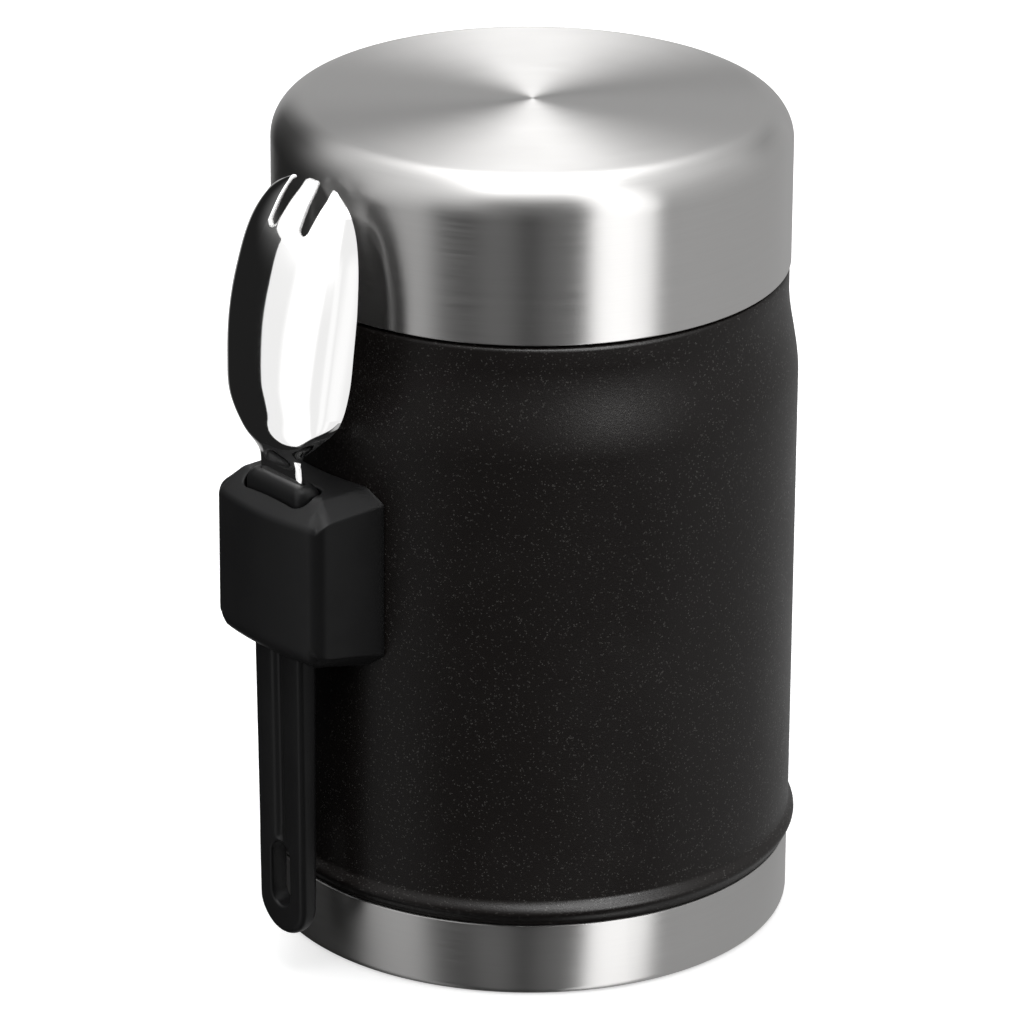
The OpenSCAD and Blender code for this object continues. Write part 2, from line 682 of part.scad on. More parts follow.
// Outline of the handle's face: tapered, with a round lower end
module handle_outline(inset) {
    end_r = handle_end_w / 2 - inset;
    top_w = handle_w / 2 - inset;
    polygon(concat(
        [[-top_w, seat_z + cut]],
        arc(0, handle_z + handle_end_w / 2, end_r, 180, 360, 16),
        [[top_w, seat_z + cut]]));
}

module handle_slab(t, inset)
    translate([spork_r - t / 2, 0, 0]) rotate([90, 0, 90]) linear_extrude(t) handle_outline(inset);

module handle_blade() hull() {
    handle_slab(handle_t, handle_round);
    handle_slab(handle_t - handle_round * 0.6, handle_round * 0.3);
    handle_slab(handle_t - handle_round * 2, 0);
}

module handle_collar() hull() {
    translate([spork_r, 0, seat_z]) linear_extrude(collar_h)
        rounded_box(collar_w, collar_t, slot_round - handle_gap, $fn = 32);
    translate([spork_r, 0, seat_z + collar_h]) linear_extrude(collar_dome * 0.6)
        rounded_box(lerp(collar_w, waist_w + 1, 0.4), collar_t * 0.8, slot_round - handle_gap, $fn = 32);
    translate([spork_r, 0, seat_z]) linear_extrude(collar_h + collar_dome)
        rounded_box(waist_w + 1, collar_t / 2, collar_t / 4 - 0.01, $fn = 32);
}

module handle_hole() {
    low = handle_z + hole_z + hole_w / 2;
    high = handle_z + hole_z + hole_h - hole_w / 2;
    rotate([90, 0, 90]) linear_extrude(front_r) union() {
        translate([0, low]) circle(d = hole_w);
        translate([0, high]) circle(d = hole_w);
        translate([-hole_w / 2, low]) square([hole_w, high - low]);
    }
}

module handle_groove() {
    low = handle_z + hole_z + hole_h + groove_stop;
    translate([spork_r + handle_t / 2 - groove_h, -groove_w / 2, low])
        cube([handle_t, groove_w, groove_l]);
}

outer_shell();
inner_vessel();
shell_bottom();
vacuum_seal();
getter();
getter_clip();
reflector_foil();
base_cup();
weld_studs();
holder_back();
holder_washers();
holder_nuts();
holder_housing();
lid_shell();
lid_liner();
lid_insulation();
plug_cover();
lid_gasket();
spork_bowl();
spork_handle();
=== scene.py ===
"""Looks of an insulated food jar with a screw-on lid and a spork in a holder on its side.

The classes keep their sizes in millimetres. Meshes are made in metres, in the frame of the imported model:
+Z up along the jar's axis, the origin in the plane that it stands on, the spork holder on the -X side.
"""
from __future__ import annotations

import logging
import math
from collections.abc import Callable, Sequence
from dataclasses import dataclass, field
from enum import Enum
from functools import reduce

import bmesh
import bpy
from mathutils import Matrix, Vector


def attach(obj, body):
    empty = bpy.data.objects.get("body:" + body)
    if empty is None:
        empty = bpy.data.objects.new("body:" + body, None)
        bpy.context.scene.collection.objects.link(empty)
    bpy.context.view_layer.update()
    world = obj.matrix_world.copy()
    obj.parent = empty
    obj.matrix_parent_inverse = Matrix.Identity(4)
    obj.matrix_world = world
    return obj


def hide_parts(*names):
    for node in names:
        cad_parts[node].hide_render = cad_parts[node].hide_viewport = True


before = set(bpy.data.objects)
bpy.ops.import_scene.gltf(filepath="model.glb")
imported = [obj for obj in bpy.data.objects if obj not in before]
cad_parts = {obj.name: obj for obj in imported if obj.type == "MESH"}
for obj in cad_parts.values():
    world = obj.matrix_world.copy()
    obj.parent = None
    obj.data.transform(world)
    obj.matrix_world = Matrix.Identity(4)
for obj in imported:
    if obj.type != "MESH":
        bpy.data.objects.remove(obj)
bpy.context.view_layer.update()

log = logging.getLogger("food_jar")

MM = 0.001

# Sizes that several pieces share
WALL_R = 46.25  # outer face of the jar's painted wall
LID_R = 44.6  # outer face of the lid's side
JAR_SHEET = 0.6  # steel of the outer shell, the base cup and the lid
SPORK_R = 54.85  # distance from the jar's axis to the middle of the spork
SPORK_SHEET = 1.1  # steel of the spork
SPORK_NECK_W = 11.0  # width of the neck above the collar
TANG_W = 8.0  # width of the tang inside the handle
TANG_Z = 47.9  # lower end of the tang
COLLAR_SEAT_Z = 85.9  # face in the holder that the collar rests on
WIDENING_Z = COLLAR_SEAT_Z + 0.5  # height from which the tang widens to the neck
WIDENING_H = 1.0  # height over which it does

# Tolerances of finished meshes
MERGE_DISTANCE = 0.002 * MM
SLIVER_LENGTH = 0.001 * MM

Point2 = tuple[float, float]
Point3 = tuple[float, float, float]
Colour = tuple[float, float, float, float]
Value = bpy.types.NodeSocket | float | int | bool | tuple | str


class Body(Enum):
    """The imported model's moving bodies that pieces ride on."""

    JAR = "jar"
    GASKET_CARRIER = "lid_rise_carrier"
    LID = "lid"
    SPORK = "spork"


# ---- Curves and outlines -----------------------------------------------------


def lerp(a: float, b: float, share: float) -> float:
    """Gives the value that lies a share of the way from a to b."""
    return a + (b - a) * share


def smooth(share: float) -> float:
    """Eases a share from 0 to 1 with level ends."""
    share = min(1.0, max(0.0, share))
    return share * share * (3 - 2 * share)


def steps(first: float, last: float, count: int) -> list[float]:
    """Gives count + 1 evenly spaced values from first to last."""
    return [lerp(first, last, i / count) for i in range(count + 1)]


def fillet(corners: Sequence[Point3], closed: bool = True, count: int = 6) -> list[Point2]:
    """Rounds the corners of an outline.

    Args:
        corners: Each corner's place and rounding radius; a radius of 0 keeps it sharp.
        closed: Whether the last corner joins the first.
        count: Straight pieces in each rounding.

    Returns:
        The rounded outline's points.
    """
    points: list[Point2] = []
    for i, (x, y, radius) in enumerate(corners):
        if radius == 0 or (not closed and i in (0, len(corners) - 1)):
            points.append((x, y))
            continue
        here = Vector((x, y))
        back = (Vector(corners[i - 1][:2]) - here).normalized()
        on = (Vector(corners[(i + 1) % len(corners)][:2]) - here).normalized()
        half = back.angle(on) / 2
        centre = here + (back + on).normalized() * (radius / math.sin(half))
        start = here + back * (radius / math.tan(half)) - centre
        turn = math.pi - 2 * half
        if back.cross(on) > 0:
            turn = -turn
        for angle in steps(0, turn, count):
            points.append(tuple(centre + Matrix.Rotation(angle, 2) @ start))
    return points


# ---- Meshes ------------------------------------------------------------------


def link_object(name: str, data: bpy.types.ID) -> bpy.types.Object:
    """Makes an object and links it to the scene."""
    obj = bpy.data.objects.new(name, data)
    bpy.context.scene.collection.objects.link(obj)
    return obj


def mesh_object(name: str, points: Sequence[Point3], faces: Sequence[Sequence[int]]) -> bpy.types.Object:
    """Makes a smooth-shaded object from points in millimetres.

    Args:
        name: The object's name.
        points: The mesh's points.
        faces: The indices of each face's points.

    Returns:
        The new object, linked to the scene.
    """
    mesh = bpy.data.meshes.new(name)
    mesh.from_pydata([Vector(p) * MM for p in points], [], faces)
    obj = link_object(name, mesh)
    finish_mesh(obj)
    return obj


def finish_mesh(obj: bpy.types.Object, crease: float = 35.0) -> None:
    """Merges doubles, turns faces outwards and shades all but creases smooth.

    Args:
        obj: The object to finish.
        crease: Smallest angle between faces, in degrees, that stays a sharp edge.
    """
    mesh = bmesh.new()
    mesh.from_mesh(obj.data)
    bmesh.ops.remove_doubles(mesh, verts=mesh.verts, dist=MERGE_DISTANCE)
    bmesh.ops.dissolve_degenerate(mesh, edges=mesh.edges, dist=SLIVER_LENGTH)
    bmesh.ops.recalc_face_normals(mesh, faces=mesh.faces)
    mesh.to_mesh(obj.data)
    mesh.free()
    obj.data.polygons.foreach_set("use_smooth", [True] * len(obj.data.polygons))
    obj.data.set_sharp_from_angle(angle=math.radians(crease))


def apply_modifiers(obj: bpy.types.Object) -> None:
    """Turns an object's modifiers into its mesh."""
    graph = bpy.context.evaluated_depsgraph_get()
    mesh = bpy.data.meshes.new_from_object(obj.evaluated_get(graph))
    obj.modifiers.clear()
    old, obj.data = obj.data, mesh
    mesh.name = obj.name
    bpy.data.meshes.remove(old)


class Cut(Enum):
    """What a boolean step does with the second piece."""

    AWAY = "DIFFERENCE"
    JOIN = "UNION"


def combine(obj: bpy.types.Object, other: bpy.types.Object, cut: Cut) -> None:
    """Cuts one piece away from another, or joins the two.

    Args:
        obj: The piece that stays.
        other: The piece that is cut away or joined, and then removed.
        cut: Which of the two.
    """
    modifier = obj.modifiers.new("combine", "BOOLEAN")
    modifier.operation = cut.value
    modifier.solver = "EXACT"
    modifier.object = other
    apply_modifiers(obj)
    bpy.data.objects.remove(other)


def rings_mesh(name: str, rings: Sequence[Sequence[Point3]], wrap: bool = False) -> bpy.types.Object:
    """Skins a row of closed rings that have the same number of points.

    Args:
        name: The object's name.
        rings: The rings, in order.
        wrap: Whether the last ring joins the first; otherwise both ends are closed by a face.

    Returns:
        The new object.
    """
    size = len(rings[0])
    points = [p for ring in rings for p in ring]
    spans = len(rings) if wrap else len(rings) - 1
    faces: list[list[int]] = []
    for i in range(spans):
        here, there = i * size, (i + 1) % len(rings) * size
        for j in range(size):
            k = (j + 1) % size
            faces.append([here + j, here + k, there + k, there + j])
    if not wrap:
        faces.append(list(range(size))[::-1])
        faces.append([spans * size + j for j in range(size)])
    return mesh_object(name, points, faces)


def thick_sheet(
    name: str,
    front: Sequence[Point3],
    back: Sequence[Point3],
    faces: Sequence[Sequence[int]],
    edge_round: Callable[[int], float],
    count: int = 4,
) -> bpy.types.Object:
    """Closes two matching skins with rounded edges all round and round every hole.

    Args:
        name: The object's name.
        front: The front skin's points.
        back: The back skin's points, in the same order.
        faces: Faces of the front skin, seen anticlockwise from the front.
        edge_round: Gives the rounding radius at a point on the skin's border.
        count: Straight pieces in each quarter of rounding.

    Returns:
        The new object.
    """
    size = len(front)
    points = [Vector(p) for p in (*front, *back)]
    skin = [list(f) for f in faces] + [[size + i for i in reversed(f)] for f in faces]
    border = {(a, b) for f in faces for a, b in zip(f, (*f[1:], f[0]))}
    border = {(a, b) for a, b in border if (b, a) not in border}
    after, before = dict(border), {b: a for a, b in border}
    strips: dict[int, list[int]] = {}
    for i in after:
        ahead = (points[after[i]] - points[before[i]]).normalized()
        across = points[i] - points[size + i]
        depth = across.length
        outwards = ahead.cross(across).normalized()
        radius = min(edge_round(i), depth / 2)
        strip = [i]
        for side, start in ((1, points[i]), (-1, points[size + i])):
            inwards = -side * across / depth
            turned = [
                start + radius * (outwards * math.sin(a) + inwards * (1 - math.cos(a)))
                for a in steps(0, math.pi / 2, count)[1:]
            ]
            first = len(points)
            points += turned
            found = list(range(first, len(points)))
            strip += found if side == 1 else found[::-1]
        strips[i] = [*strip, size + i]
    for a, b in border:
        for k in range(len(strips[a]) - 1):
            skin.append([strips[b][k], strips[a][k], strips[a][k + 1], strips[b][k + 1]])
    return mesh_object(name, points, skin)


def holder_side(p: Point3) -> Point3:
    """Turns a point that is drawn with x outwards from the axis to the holder's side of the jar."""
    return (-p[0], -p[1], p[2])


# ---- Node trees --------------------------------------------------------------


class Graph:
    """Adds and links the nodes of one tree."""

    def __init__(self, tree: bpy.types.NodeTree) -> None:
        """Takes over a tree and empties it."""
        self.tree = tree
        tree.nodes.clear()

    def feed(self, socket: bpy.types.NodeSocket, value: Value) -> None:
        """Links a socket to another, or sets its own value."""
        if isinstance(value, bpy.types.NodeSocket):
            self.tree.links.new(value, socket)
        else:
            socket.default_value = value

    def add(
        self, kind: str, settings: dict[str, object] | None = None, **inputs: Value
    ) -> bpy.types.Node:
        """Adds a node.

        Args:
            kind: The node's type.
            settings: The node's own properties.
            inputs: What feeds its inputs, by their names with underscores for spaces.

        Returns:
            The new node.
        """
        node = self.tree.nodes.new(kind)
        for key, value in (settings or {}).items():
            setattr(node, key, value)
        for key, value in inputs.items():
            self.feed(node.inputs[key.replace("_", " ")], value)
        return node

    def math(self, operation: str, *values: Value) -> bpy.types.NodeSocket:
        """Adds a Math node and gives its output."""
        node = self.add("ShaderNodeMath", {"operation": operation})
        for socket, value in zip(node.inputs, values):
            self.feed(socket, value)
        return node.outputs[0]

    def product(self, *values: Value) -> bpy.types.NodeSocket:
        """Multiplies two or more numbers."""
        return reduce(lambda a, b: self.math("MULTIPLY", a, b), values)

    def total(self, *values: Value) -> bpy.types.NodeSocket:
        """Adds two or more numbers."""
        return reduce(lambda a, b: self.math("ADD", a, b), values)

    def vector(self, x: Value, y: Value, z: Value) -> bpy.types.NodeSocket:
        """Joins three numbers to a vector."""
        return self.add("ShaderNodeCombineXYZ", X=x, Y=y, Z=z).outputs[0]

    def ramp(
        self, value: Value, low: float, high: float, to_low: float = 0.0, to_high: float = 1.0
    ) -> bpy.types.NodeSocket:
        """Maps a value smoothly from one range to another, without leaving the second."""
        node = self.add(
            "ShaderNodeMapRange", {"interpolation_type": "SMOOTHSTEP"}, Value=value,
            From_Min=low, From_Max=high, To_Min=to_low, To_Max=to_high)
        return node.outputs[0]

    def window(self, value: Value, low: float, high: float, soft: float) -> bpy.types.NodeSocket:
        """Gives 1 between two limits and 0 outside, with soft ends."""
        opens = self.ramp(value, low - soft, low + soft)
        closes = self.ramp(value, high - soft, high + soft, 1.0, 0.0)
        return self.product(opens, closes)

    def noise(self, where: Value, detail: float = 2.0, roughness: float = 0.5) -> bpy.types.NodeSocket:
        """Adds a noise whose cells are one unit of the given vector."""
        settings = {"Scale": 1.0, "Detail": detail, "Roughness": roughness}
        return self.add("ShaderNodeTexNoise", Vector=where, **settings).outputs[0]

    def mix(self, share: Value, first: Value, second: Value) -> bpy.types.NodeSocket:
        """Mixes two colours."""
        node = self.add("ShaderNodeMix", {"data_type": "RGBA"})
        for index, value in ((0, share), (6, first), (7, second)):
            self.feed(node.inputs[index], value)
        return node.outputs[2]


@dataclass
class ShaderGroup:
    """A shader node group with named inputs and outputs."""

    name: str
    inputs: dict[str, float]
    outputs: tuple[str, ...]
    tree: bpy.types.ShaderNodeTree = field(init=False)

    def open(self) -> tuple[Graph, bpy.types.Node, bpy.types.Node]:
        """Makes the group's sockets.

        Returns:
            The group's graph, and its input and output nodes.
        """
        self.tree = bpy.data.node_groups.new(self.name, "ShaderNodeTree")
        for name, value in self.inputs.items():
            socket = self.tree.interface.new_socket(name, in_out="INPUT", socket_type="NodeSocketFloat")
            socket.default_value = value
        for name in self.outputs:
            self.tree.interface.new_socket(name, in_out="OUTPUT", socket_type="NodeSocketFloat")
        graph = Graph(self.tree)
        return graph, graph.add("NodeGroupInput"), graph.add("NodeGroupOutput")

    def place(self, graph: Graph, **values: Value) -> bpy.types.Node:
        """Places the group in a material with its own values."""
        return graph.add("ShaderNodeGroup", {"node_tree": self.tree}, **values)


def object_place(graph: Graph, length: Value) -> bpy.types.NodeSocket:
    """Gives the place on the object, measured in a pattern's own cells.

    Args:
        graph: The tree to add to.
        length: Size of a cell in millimetres.

    Returns:
        The scaled vector.
    """
    where = graph.add("ShaderNodeTexCoord").outputs["Object"]
    cells = graph.math("DIVIDE", 1 / MM, length)
    scaled = graph.add("ShaderNodeVectorMath", {"operation": "SCALE"}, Vector=where, Scale=cells)
    return scaled.outputs[0]


class SharedEffects:
    """The shader groups that several materials use."""

    BAND_SHARE = 0.13  # of the scratches' own fineness
    PATCH_SIZE = 2.5  # in pebbles
    SPECK_SIZE = 0.8  # in pebbles
    PEBBLE_SHARE = 0.6  # of the height
    SPECK_CHANCE = (0.93, 0.99)  # where cells turn from plain to bright
    TOUCHED = (0.35, 0.7)  # where the noise turns from untouched to touched

    def __init__(self) -> None:
        """Builds every group once."""
        self.turned_grain = self._turned_grain()
        self.fine_texture = self._fine_texture()
        self.handling = self._handling()

    def _turned_grain(self) -> ShaderGroup:
        """Fine scratches that run round the jar's axis, as a spinning belt leaves them."""
        group = ShaderGroup("turned_grain", {"Length": 6.0, "Width": 0.15}, ("Height", "Mask"))
        graph, given, put = group.open()
        where = graph.add("ShaderNodeTexCoord").outputs["Object"]
        x, y, z = graph.add("ShaderNodeSeparateXYZ", Vector=where).outputs
        radius = graph.math("SQRT", graph.total(graph.product(x, x), graph.product(y, y)))
        along = graph.math("DIVIDE", 1 / MM, given.outputs["Length"])
        across = graph.math("DIVIDE", 1 / MM, given.outputs["Width"])
        run = graph.product(graph.math("SUBTRACT", z, radius), across)
        cells = graph.vector(graph.product(x, along), graph.product(y, along), run)
        fine = graph.noise(cells, roughness=0.6)
        bands = graph.vector(0.0, 0.0, graph.product(run, self.BAND_SHARE))
        broad = graph.noise(bands, detail=3.0, roughness=0.7)
        graph.feed(put.inputs["Height"], fine)
        graph.feed(put.inputs["Mask"], graph.product(graph.total(fine, broad), 0.5))
        return group

    def _fine_texture(self) -> ShaderGroup:
        """The pebbled skin of a powder coat or of moulded plastic."""
        group = ShaderGroup("fine_texture", {"Size": 0.3}, ("Height", "Mask", "Speck"))
        graph, given, put = group.open()
        size = given.outputs["Size"]
        pebble, patch, speck = (
            object_place(graph, graph.product(size, k)) for k in (1.0, self.PATCH_SIZE, self.SPECK_SIZE))
        pebbles = graph.add("ShaderNodeTexVoronoi", {"feature": "SMOOTH_F1"}, Vector=pebble, Scale=1.0)
        rough = graph.noise(patch, detail=3.0, roughness=0.65)
        height = graph.total(graph.product(pebbles.outputs["Distance"], self.PEBBLE_SHARE), rough)
        cells = graph.add("ShaderNodeTexVoronoi", Vector=speck, Scale=1.0)
        chance = graph.add("ShaderNodeSeparateXYZ", Vector=cells.outputs["Color"]).outputs[0]
        graph.feed(put.inputs["Height"], height)
        graph.feed(put.inputs["Mask"], rough)
        graph.feed(put.inputs["Speck"], graph.ramp(chance, *self.SPECK_CHANCE))
        return group

    def _handling(self) -> ShaderGroup:
        """Broad, soft patches where a surface has been touched and wiped."""
        group = ShaderGroup("handling", {"Size": 18.0}, ("Mask",))
        graph, given, put = group.open()
        patches = graph.noise(object_place(graph, given.outputs["Size"]), detail=4.0, roughness=0.55)
        graph.feed(put.inputs["Mask"], graph.ramp(patches, *self.TOUCHED))
        return group

    def patches(self, graph: Graph, size: float, low: float, high: float) -> bpy.types.NodeSocket:
        """Gives a value that drifts between two limits where the surface was touched.

        Args:
            graph: The material's tree.
            size: Size of the patches in millimetres.
            low: The value on untouched surface.
            high: The value in the middle of a patch.

        Returns:
            The value.
        """
        return graph.ramp(self.handling.place(graph, Size=size).outputs["Mask"], 0.0, 1.0, low, high)


# ---- Finishes ----------------------------------------------------------------


def shade(grey: float, warmth: float = 0.0) -> Colour:
    """Gives a grey that leans to brown by the given share."""
    return (grey * (1 + warmth), grey, grey * (1 - warmth), 1.0)


def tint(colour: Colour, share: float) -> Colour:
    """Gives a colour that is lighter or darker by a share."""
    return tuple(c * share for c in colour[:3]) + (1.0,)


@dataclass(frozen=True)
class Surface:
    """A material in the making."""

    material: bpy.types.Material
    graph: Graph
    shader: bpy.types.Node

    def finish(self, height: Value, depth: float, **inputs: Value) -> bpy.types.Material:
        """Feeds the shader and raises its surface.

        Args:
            height: The height that bumps the surface, from 0 to 1.
            depth: How deep a height of 1 is, in millimetres.
            inputs: The shader's other inputs, by name with underscores for spaces.

        Returns:
            The material.
        """
        bump = self.graph.add("ShaderNodeBump", Strength=1.0, Distance=depth * MM, Height=height)
        for key, value in (inputs | {"Normal": bump.outputs[0]}).items():
            self.graph.feed(self.shader.inputs[key.replace("_", " ")], value)
        return self.material


def new_surface(name: str, **settings: Value) -> Surface:
    """Starts a material with one Principled shader.

    Args:
        name: The material's name.
        settings: The shader's inputs, by name with underscores for spaces.

    Returns:
        The material with its graph and shader.
    """
    material = bpy.data.materials.new(name)
    material.use_nodes = True
    graph = Graph(material.node_tree)
    shader = graph.add("ShaderNodeBsdfPrincipled", **settings)
    graph.add("ShaderNodeOutputMaterial", Surface=shader.outputs[0])
    return Surface(material, graph, shader)


@dataclass(frozen=True)
class BrushedSteel:
    """Stainless steel that was brushed as it turned, so its highlights stretch across the grain."""

    name: str
    colour: Colour = shade(0.66, 0.012)
    dark: float = 0.86
    roughness: float = 0.33
    spread: float = 0.03
    wiped: float = 0.02
    wiped_size: float = 22.0
    stretch: float = 0.88
    grain_length: float = 7.0
    grain_width: float = 0.16
    grain_depth: float = 0.0022

    def material(self, effects: SharedEffects) -> bpy.types.Material:
        """Makes the material."""
        made = new_surface(self.name, Metallic=1.0, Anisotropic=self.stretch, Anisotropic_Rotation=0.25)
        graph = made.graph
        grain = effects.turned_grain.place(graph, Length=self.grain_length, Width=self.grain_width)
        mask = grain.outputs["Mask"]
        touched = effects.handling.place(graph, Size=self.wiped_size).outputs["Mask"]
        rough = graph.ramp(mask, 0.3, 0.7, self.roughness - self.spread, self.roughness + self.spread)
        tangent = graph.add("ShaderNodeTangent", {"direction_type": "RADIAL", "axis": "Z"})
        return made.finish(
            grain.outputs["Height"], self.grain_depth,
            Base_Color=graph.mix(mask, tint(self.colour, self.dark), self.colour),
            Roughness=graph.total(rough, graph.product(touched, self.wiped)),
            Tangent=tangent.outputs[0])


@dataclass(frozen=True)
class PlainSteel:
    """Steel without a drawn grain: rolled, electropolished, plated or mirror-polished."""

    name: str
    colour: Colour
    roughness: float
    texture_size: float = 0.4
    texture_depth: float = 0.0008
    wiped_size: float = 14.0

    def material(self, effects: SharedEffects) -> bpy.types.Material:
        """Makes the material."""
        made = new_surface(self.name, Base_Color=self.colour, Metallic=1.0)
        skin = effects.fine_texture.place(made.graph, Size=self.texture_size)
        low, high = self.roughness * 0.85, self.roughness * 1.2
        return made.finish(
            skin.outputs["Mask"], self.texture_depth,
            Roughness=effects.patches(made.graph, self.wiped_size, low, high))


@dataclass(frozen=True)
class PowderCoat:
    """Satin black powder coat with a pebbled skin and a few bright specks."""

    name: str
    colour: Colour = (0.0024, 0.0018, 0.0016, 1.0)
    speck_colour: Colour = (0.02, 0.019, 0.018, 1.0)
    speck_gloss: float = -0.14
    roughness: float = 0.4
    pebble_size: float = 0.26
    pebble_depth: float = 0.02
    wiped_size: float = 30.0

    def material(self, effects: SharedEffects) -> bpy.types.Material:
        """Makes the material."""
        made = new_surface(self.name, Specular_IOR_Level=0.24)
        graph = made.graph
        skin = effects.fine_texture.place(graph, Size=self.pebble_size)
        speck = skin.outputs["Speck"]
        plain = effects.patches(graph, self.wiped_size, self.roughness - 0.02, self.roughness + 0.03)
        return made.finish(
            skin.outputs["Height"], self.pebble_depth,
            Base_Color=graph.mix(speck, self.colour, self.speck_colour),
            Roughness=graph.total(plain, graph.product(speck, self.speck_gloss)))


@dataclass(frozen=True)
class MouldedPlastic:
    """Moulded plastic with a fine spark-eroded skin."""

    name: str
    colour: Colour
    light: float = 1.25
    roughness: float = 0.42
    texture_size: float = 0.14
    texture_depth: float = 0.004
    wiped_size: float = 9.0

    def material(self, effects: SharedEffects) -> bpy.types.Material:
        """Makes the material."""
        made = new_surface(self.name, Specular_IOR_Level=0.4)
        graph = made.graph
        skin = effects.fine_texture.place(graph, Size=self.texture_size)
        low, high = self.roughness - 0.03, self.roughness + 0.04
        return made.finish(
            skin.outputs["Height"], self.texture_depth,
            Base_Color=graph.mix(skin.outputs["Mask"], self.colour, tint(self.colour, self.light)),
            Roughness=effects.patches(graph, self.wiped_size, low, high))


@dataclass(frozen=True)
class SoftPolymer:
    """Silicone or rigid foam."""

    name: str
    colour: Colour
    roughness: float
    texture_size: float
    texture_depth: float
    dark: float = 0.85
    spread: float = 0.05

    def material(self, effects: SharedEffects) -> bpy.types.Material:
        """Makes the material."""
        made = new_surface(self.name, Specular_IOR_Level=0.4, Sheen_Weight=0.1)
        graph = made.graph
        skin = effects.fine_texture.place(graph, Size=self.texture_size)
        mask = skin.outputs["Mask"]
        low, high = self.roughness - self.spread, self.roughness + self.spread
        return made.finish(
            skin.outputs["Height"], self.texture_depth,
            Base_Color=graph.mix(mask, tint(self.colour, self.dark), self.colour),
            Roughness=graph.ramp(mask, 0.3, 0.7, low, high))


@dataclass(frozen=True)
class SealingGlass:
    """The dark glass that closes the pump-out hole."""

    name: str = "sealing_glass"
    colour: Colour = (0.03, 0.03, 0.035, 1.0)
    flow_size: float = 3.0
    flow_depth: float = 0.02

    def material(self, effects: SharedEffects) -> bpy.types.Material:
        """Makes the material."""
        made = new_surface(self.name, Base_Color=self.colour, Coat_Weight=0.6)
        flow = effects.handling.place(made.graph, Size=self.flow_size).outputs["Mask"]
        return made.finish(flow, self.flow_depth, Roughness=made.graph.ramp(flow, 0.0, 1.0, 0.08, 0.2))


class Finishes:
    """Every material of the jar, made once."""

    def __init__(self) -> None:
        """Builds the shared groups and the materials."""
        effects = SharedEffects()
        black = (0.012, 0.012, 0.0125, 1.0)
        makers = [
            PowderCoat("black_powder_coat"),
            BrushedSteel("brushed_lid"),
            BrushedSteel("brushed_base", colour=shade(0.6, 0.012)),
            PlainSteel("vessel_steel", shade(0.6, 0.01), 0.28),
            PlainSteel("neck_steel", shade(0.58, 0.01), 0.3),
            PlainSteel("bare_steel", shade(0.52, 0.01), 0.38),
            PlainSteel("zinc_steel", shade(0.6, 0.02), 0.32),
            PlainSteel("getter_alloy", shade(0.33), 0.6, 0.3, 0.006),
            PlainSteel("copper_foil", (0.8, 0.42, 0.26, 1.0), 0.22, 1.5, 0.02),
            PlainSteel("mirror_steel", shade(0.86, 0.004), 0.05, 2.0, 0.0006),
            PlainSteel("cut_steel", shade(0.85, 0.004), 0.42, 0.18, 0.02),
            SealingGlass(),
            MouldedPlastic("frame_plastic", shade(0.03)),
            MouldedPlastic("holder_plastic", black, roughness=0.5),
            MouldedPlastic("handle_plastic", black, roughness=0.42),
            MouldedPlastic("liner_plastic", shade(0.035), roughness=0.38),
            SoftPolymer("lid_foam", (0.82, 0.78, 0.64, 1.0), 0.85, 0.5, 0.08),
            SoftPolymer("gasket_silicone", (0.42, 0.43, 0.44, 1.0), 0.48, 0.3, 0.004),
        ]
        self.made = {maker.name: maker.material(effects) for maker in makers}

    def dress(self, obj: bpy.types.Object, *names: str) -> None:
        """Gives an object its materials, in the order of its faces' material slots."""
        obj.data.materials.clear()
        for name in names:
            obj.data.materials.append(self.made[name])


# ---- Pieces that are turned round the axis -----------------------------------


class NodeTool:
    """A Geometry Nodes tree that is run on an object and leaves a plain mesh."""

    def __init__(self, name: str, inputs: dict[str, str]) -> None:
        """Makes the tree and its sockets.

        Args:
            name: The tree's name.
            inputs: The name and kind of each input; the first takes the object's own geometry.
        """
        self.tree = bpy.data.node_groups.new(name, "GeometryNodeTree")
        sockets = self.tree.interface
        self.sockets = {
            key: sockets.new_socket(key, in_out="INPUT", socket_type=f"NodeSocket{kind}").identifier
            for key, kind in inputs.items()
        }
        sockets.new_socket("Piece", in_out="OUTPUT", socket_type="NodeSocketGeometry")
        self.graph = Graph(self.tree)
        self.given = self.graph.add("NodeGroupInput").outputs

    def deliver(self, shape: bpy.types.NodeSocket) -> None:
        """Gives a shape its finish and makes it the tree's result."""
        graph, finish = self.graph, self.given["Finish"]
        plain = graph.add("GeometryNodeRealizeInstances", Geometry=shape).outputs[0]
        dressed = graph.add("GeometryNodeSetMaterial", Geometry=plain, Material=finish)
        graph.add("NodeGroupOutput", Piece=dressed.outputs[0])

    def run(self, name: str, mesh: bpy.types.Mesh, crease: float, **values: object) -> bpy.types.Object:
        """Runs the tree.

        Args:
            name: The new object's name.
            mesh: The mesh that the tree starts from.
            crease: Smallest angle between faces, in degrees, that stays a sharp edge.
            values: The tree's other inputs.

        Returns:
            The finished object.
        """
        obj = link_object(name, mesh)
        modifier = obj.modifiers.new(self.tree.name, "NODES")
        modifier.node_group = self.tree
        for key, value in values.items():
            modifier[self.sockets[key]] = value
        apply_modifiers(obj)
        finish_mesh(obj, crease)
        return obj


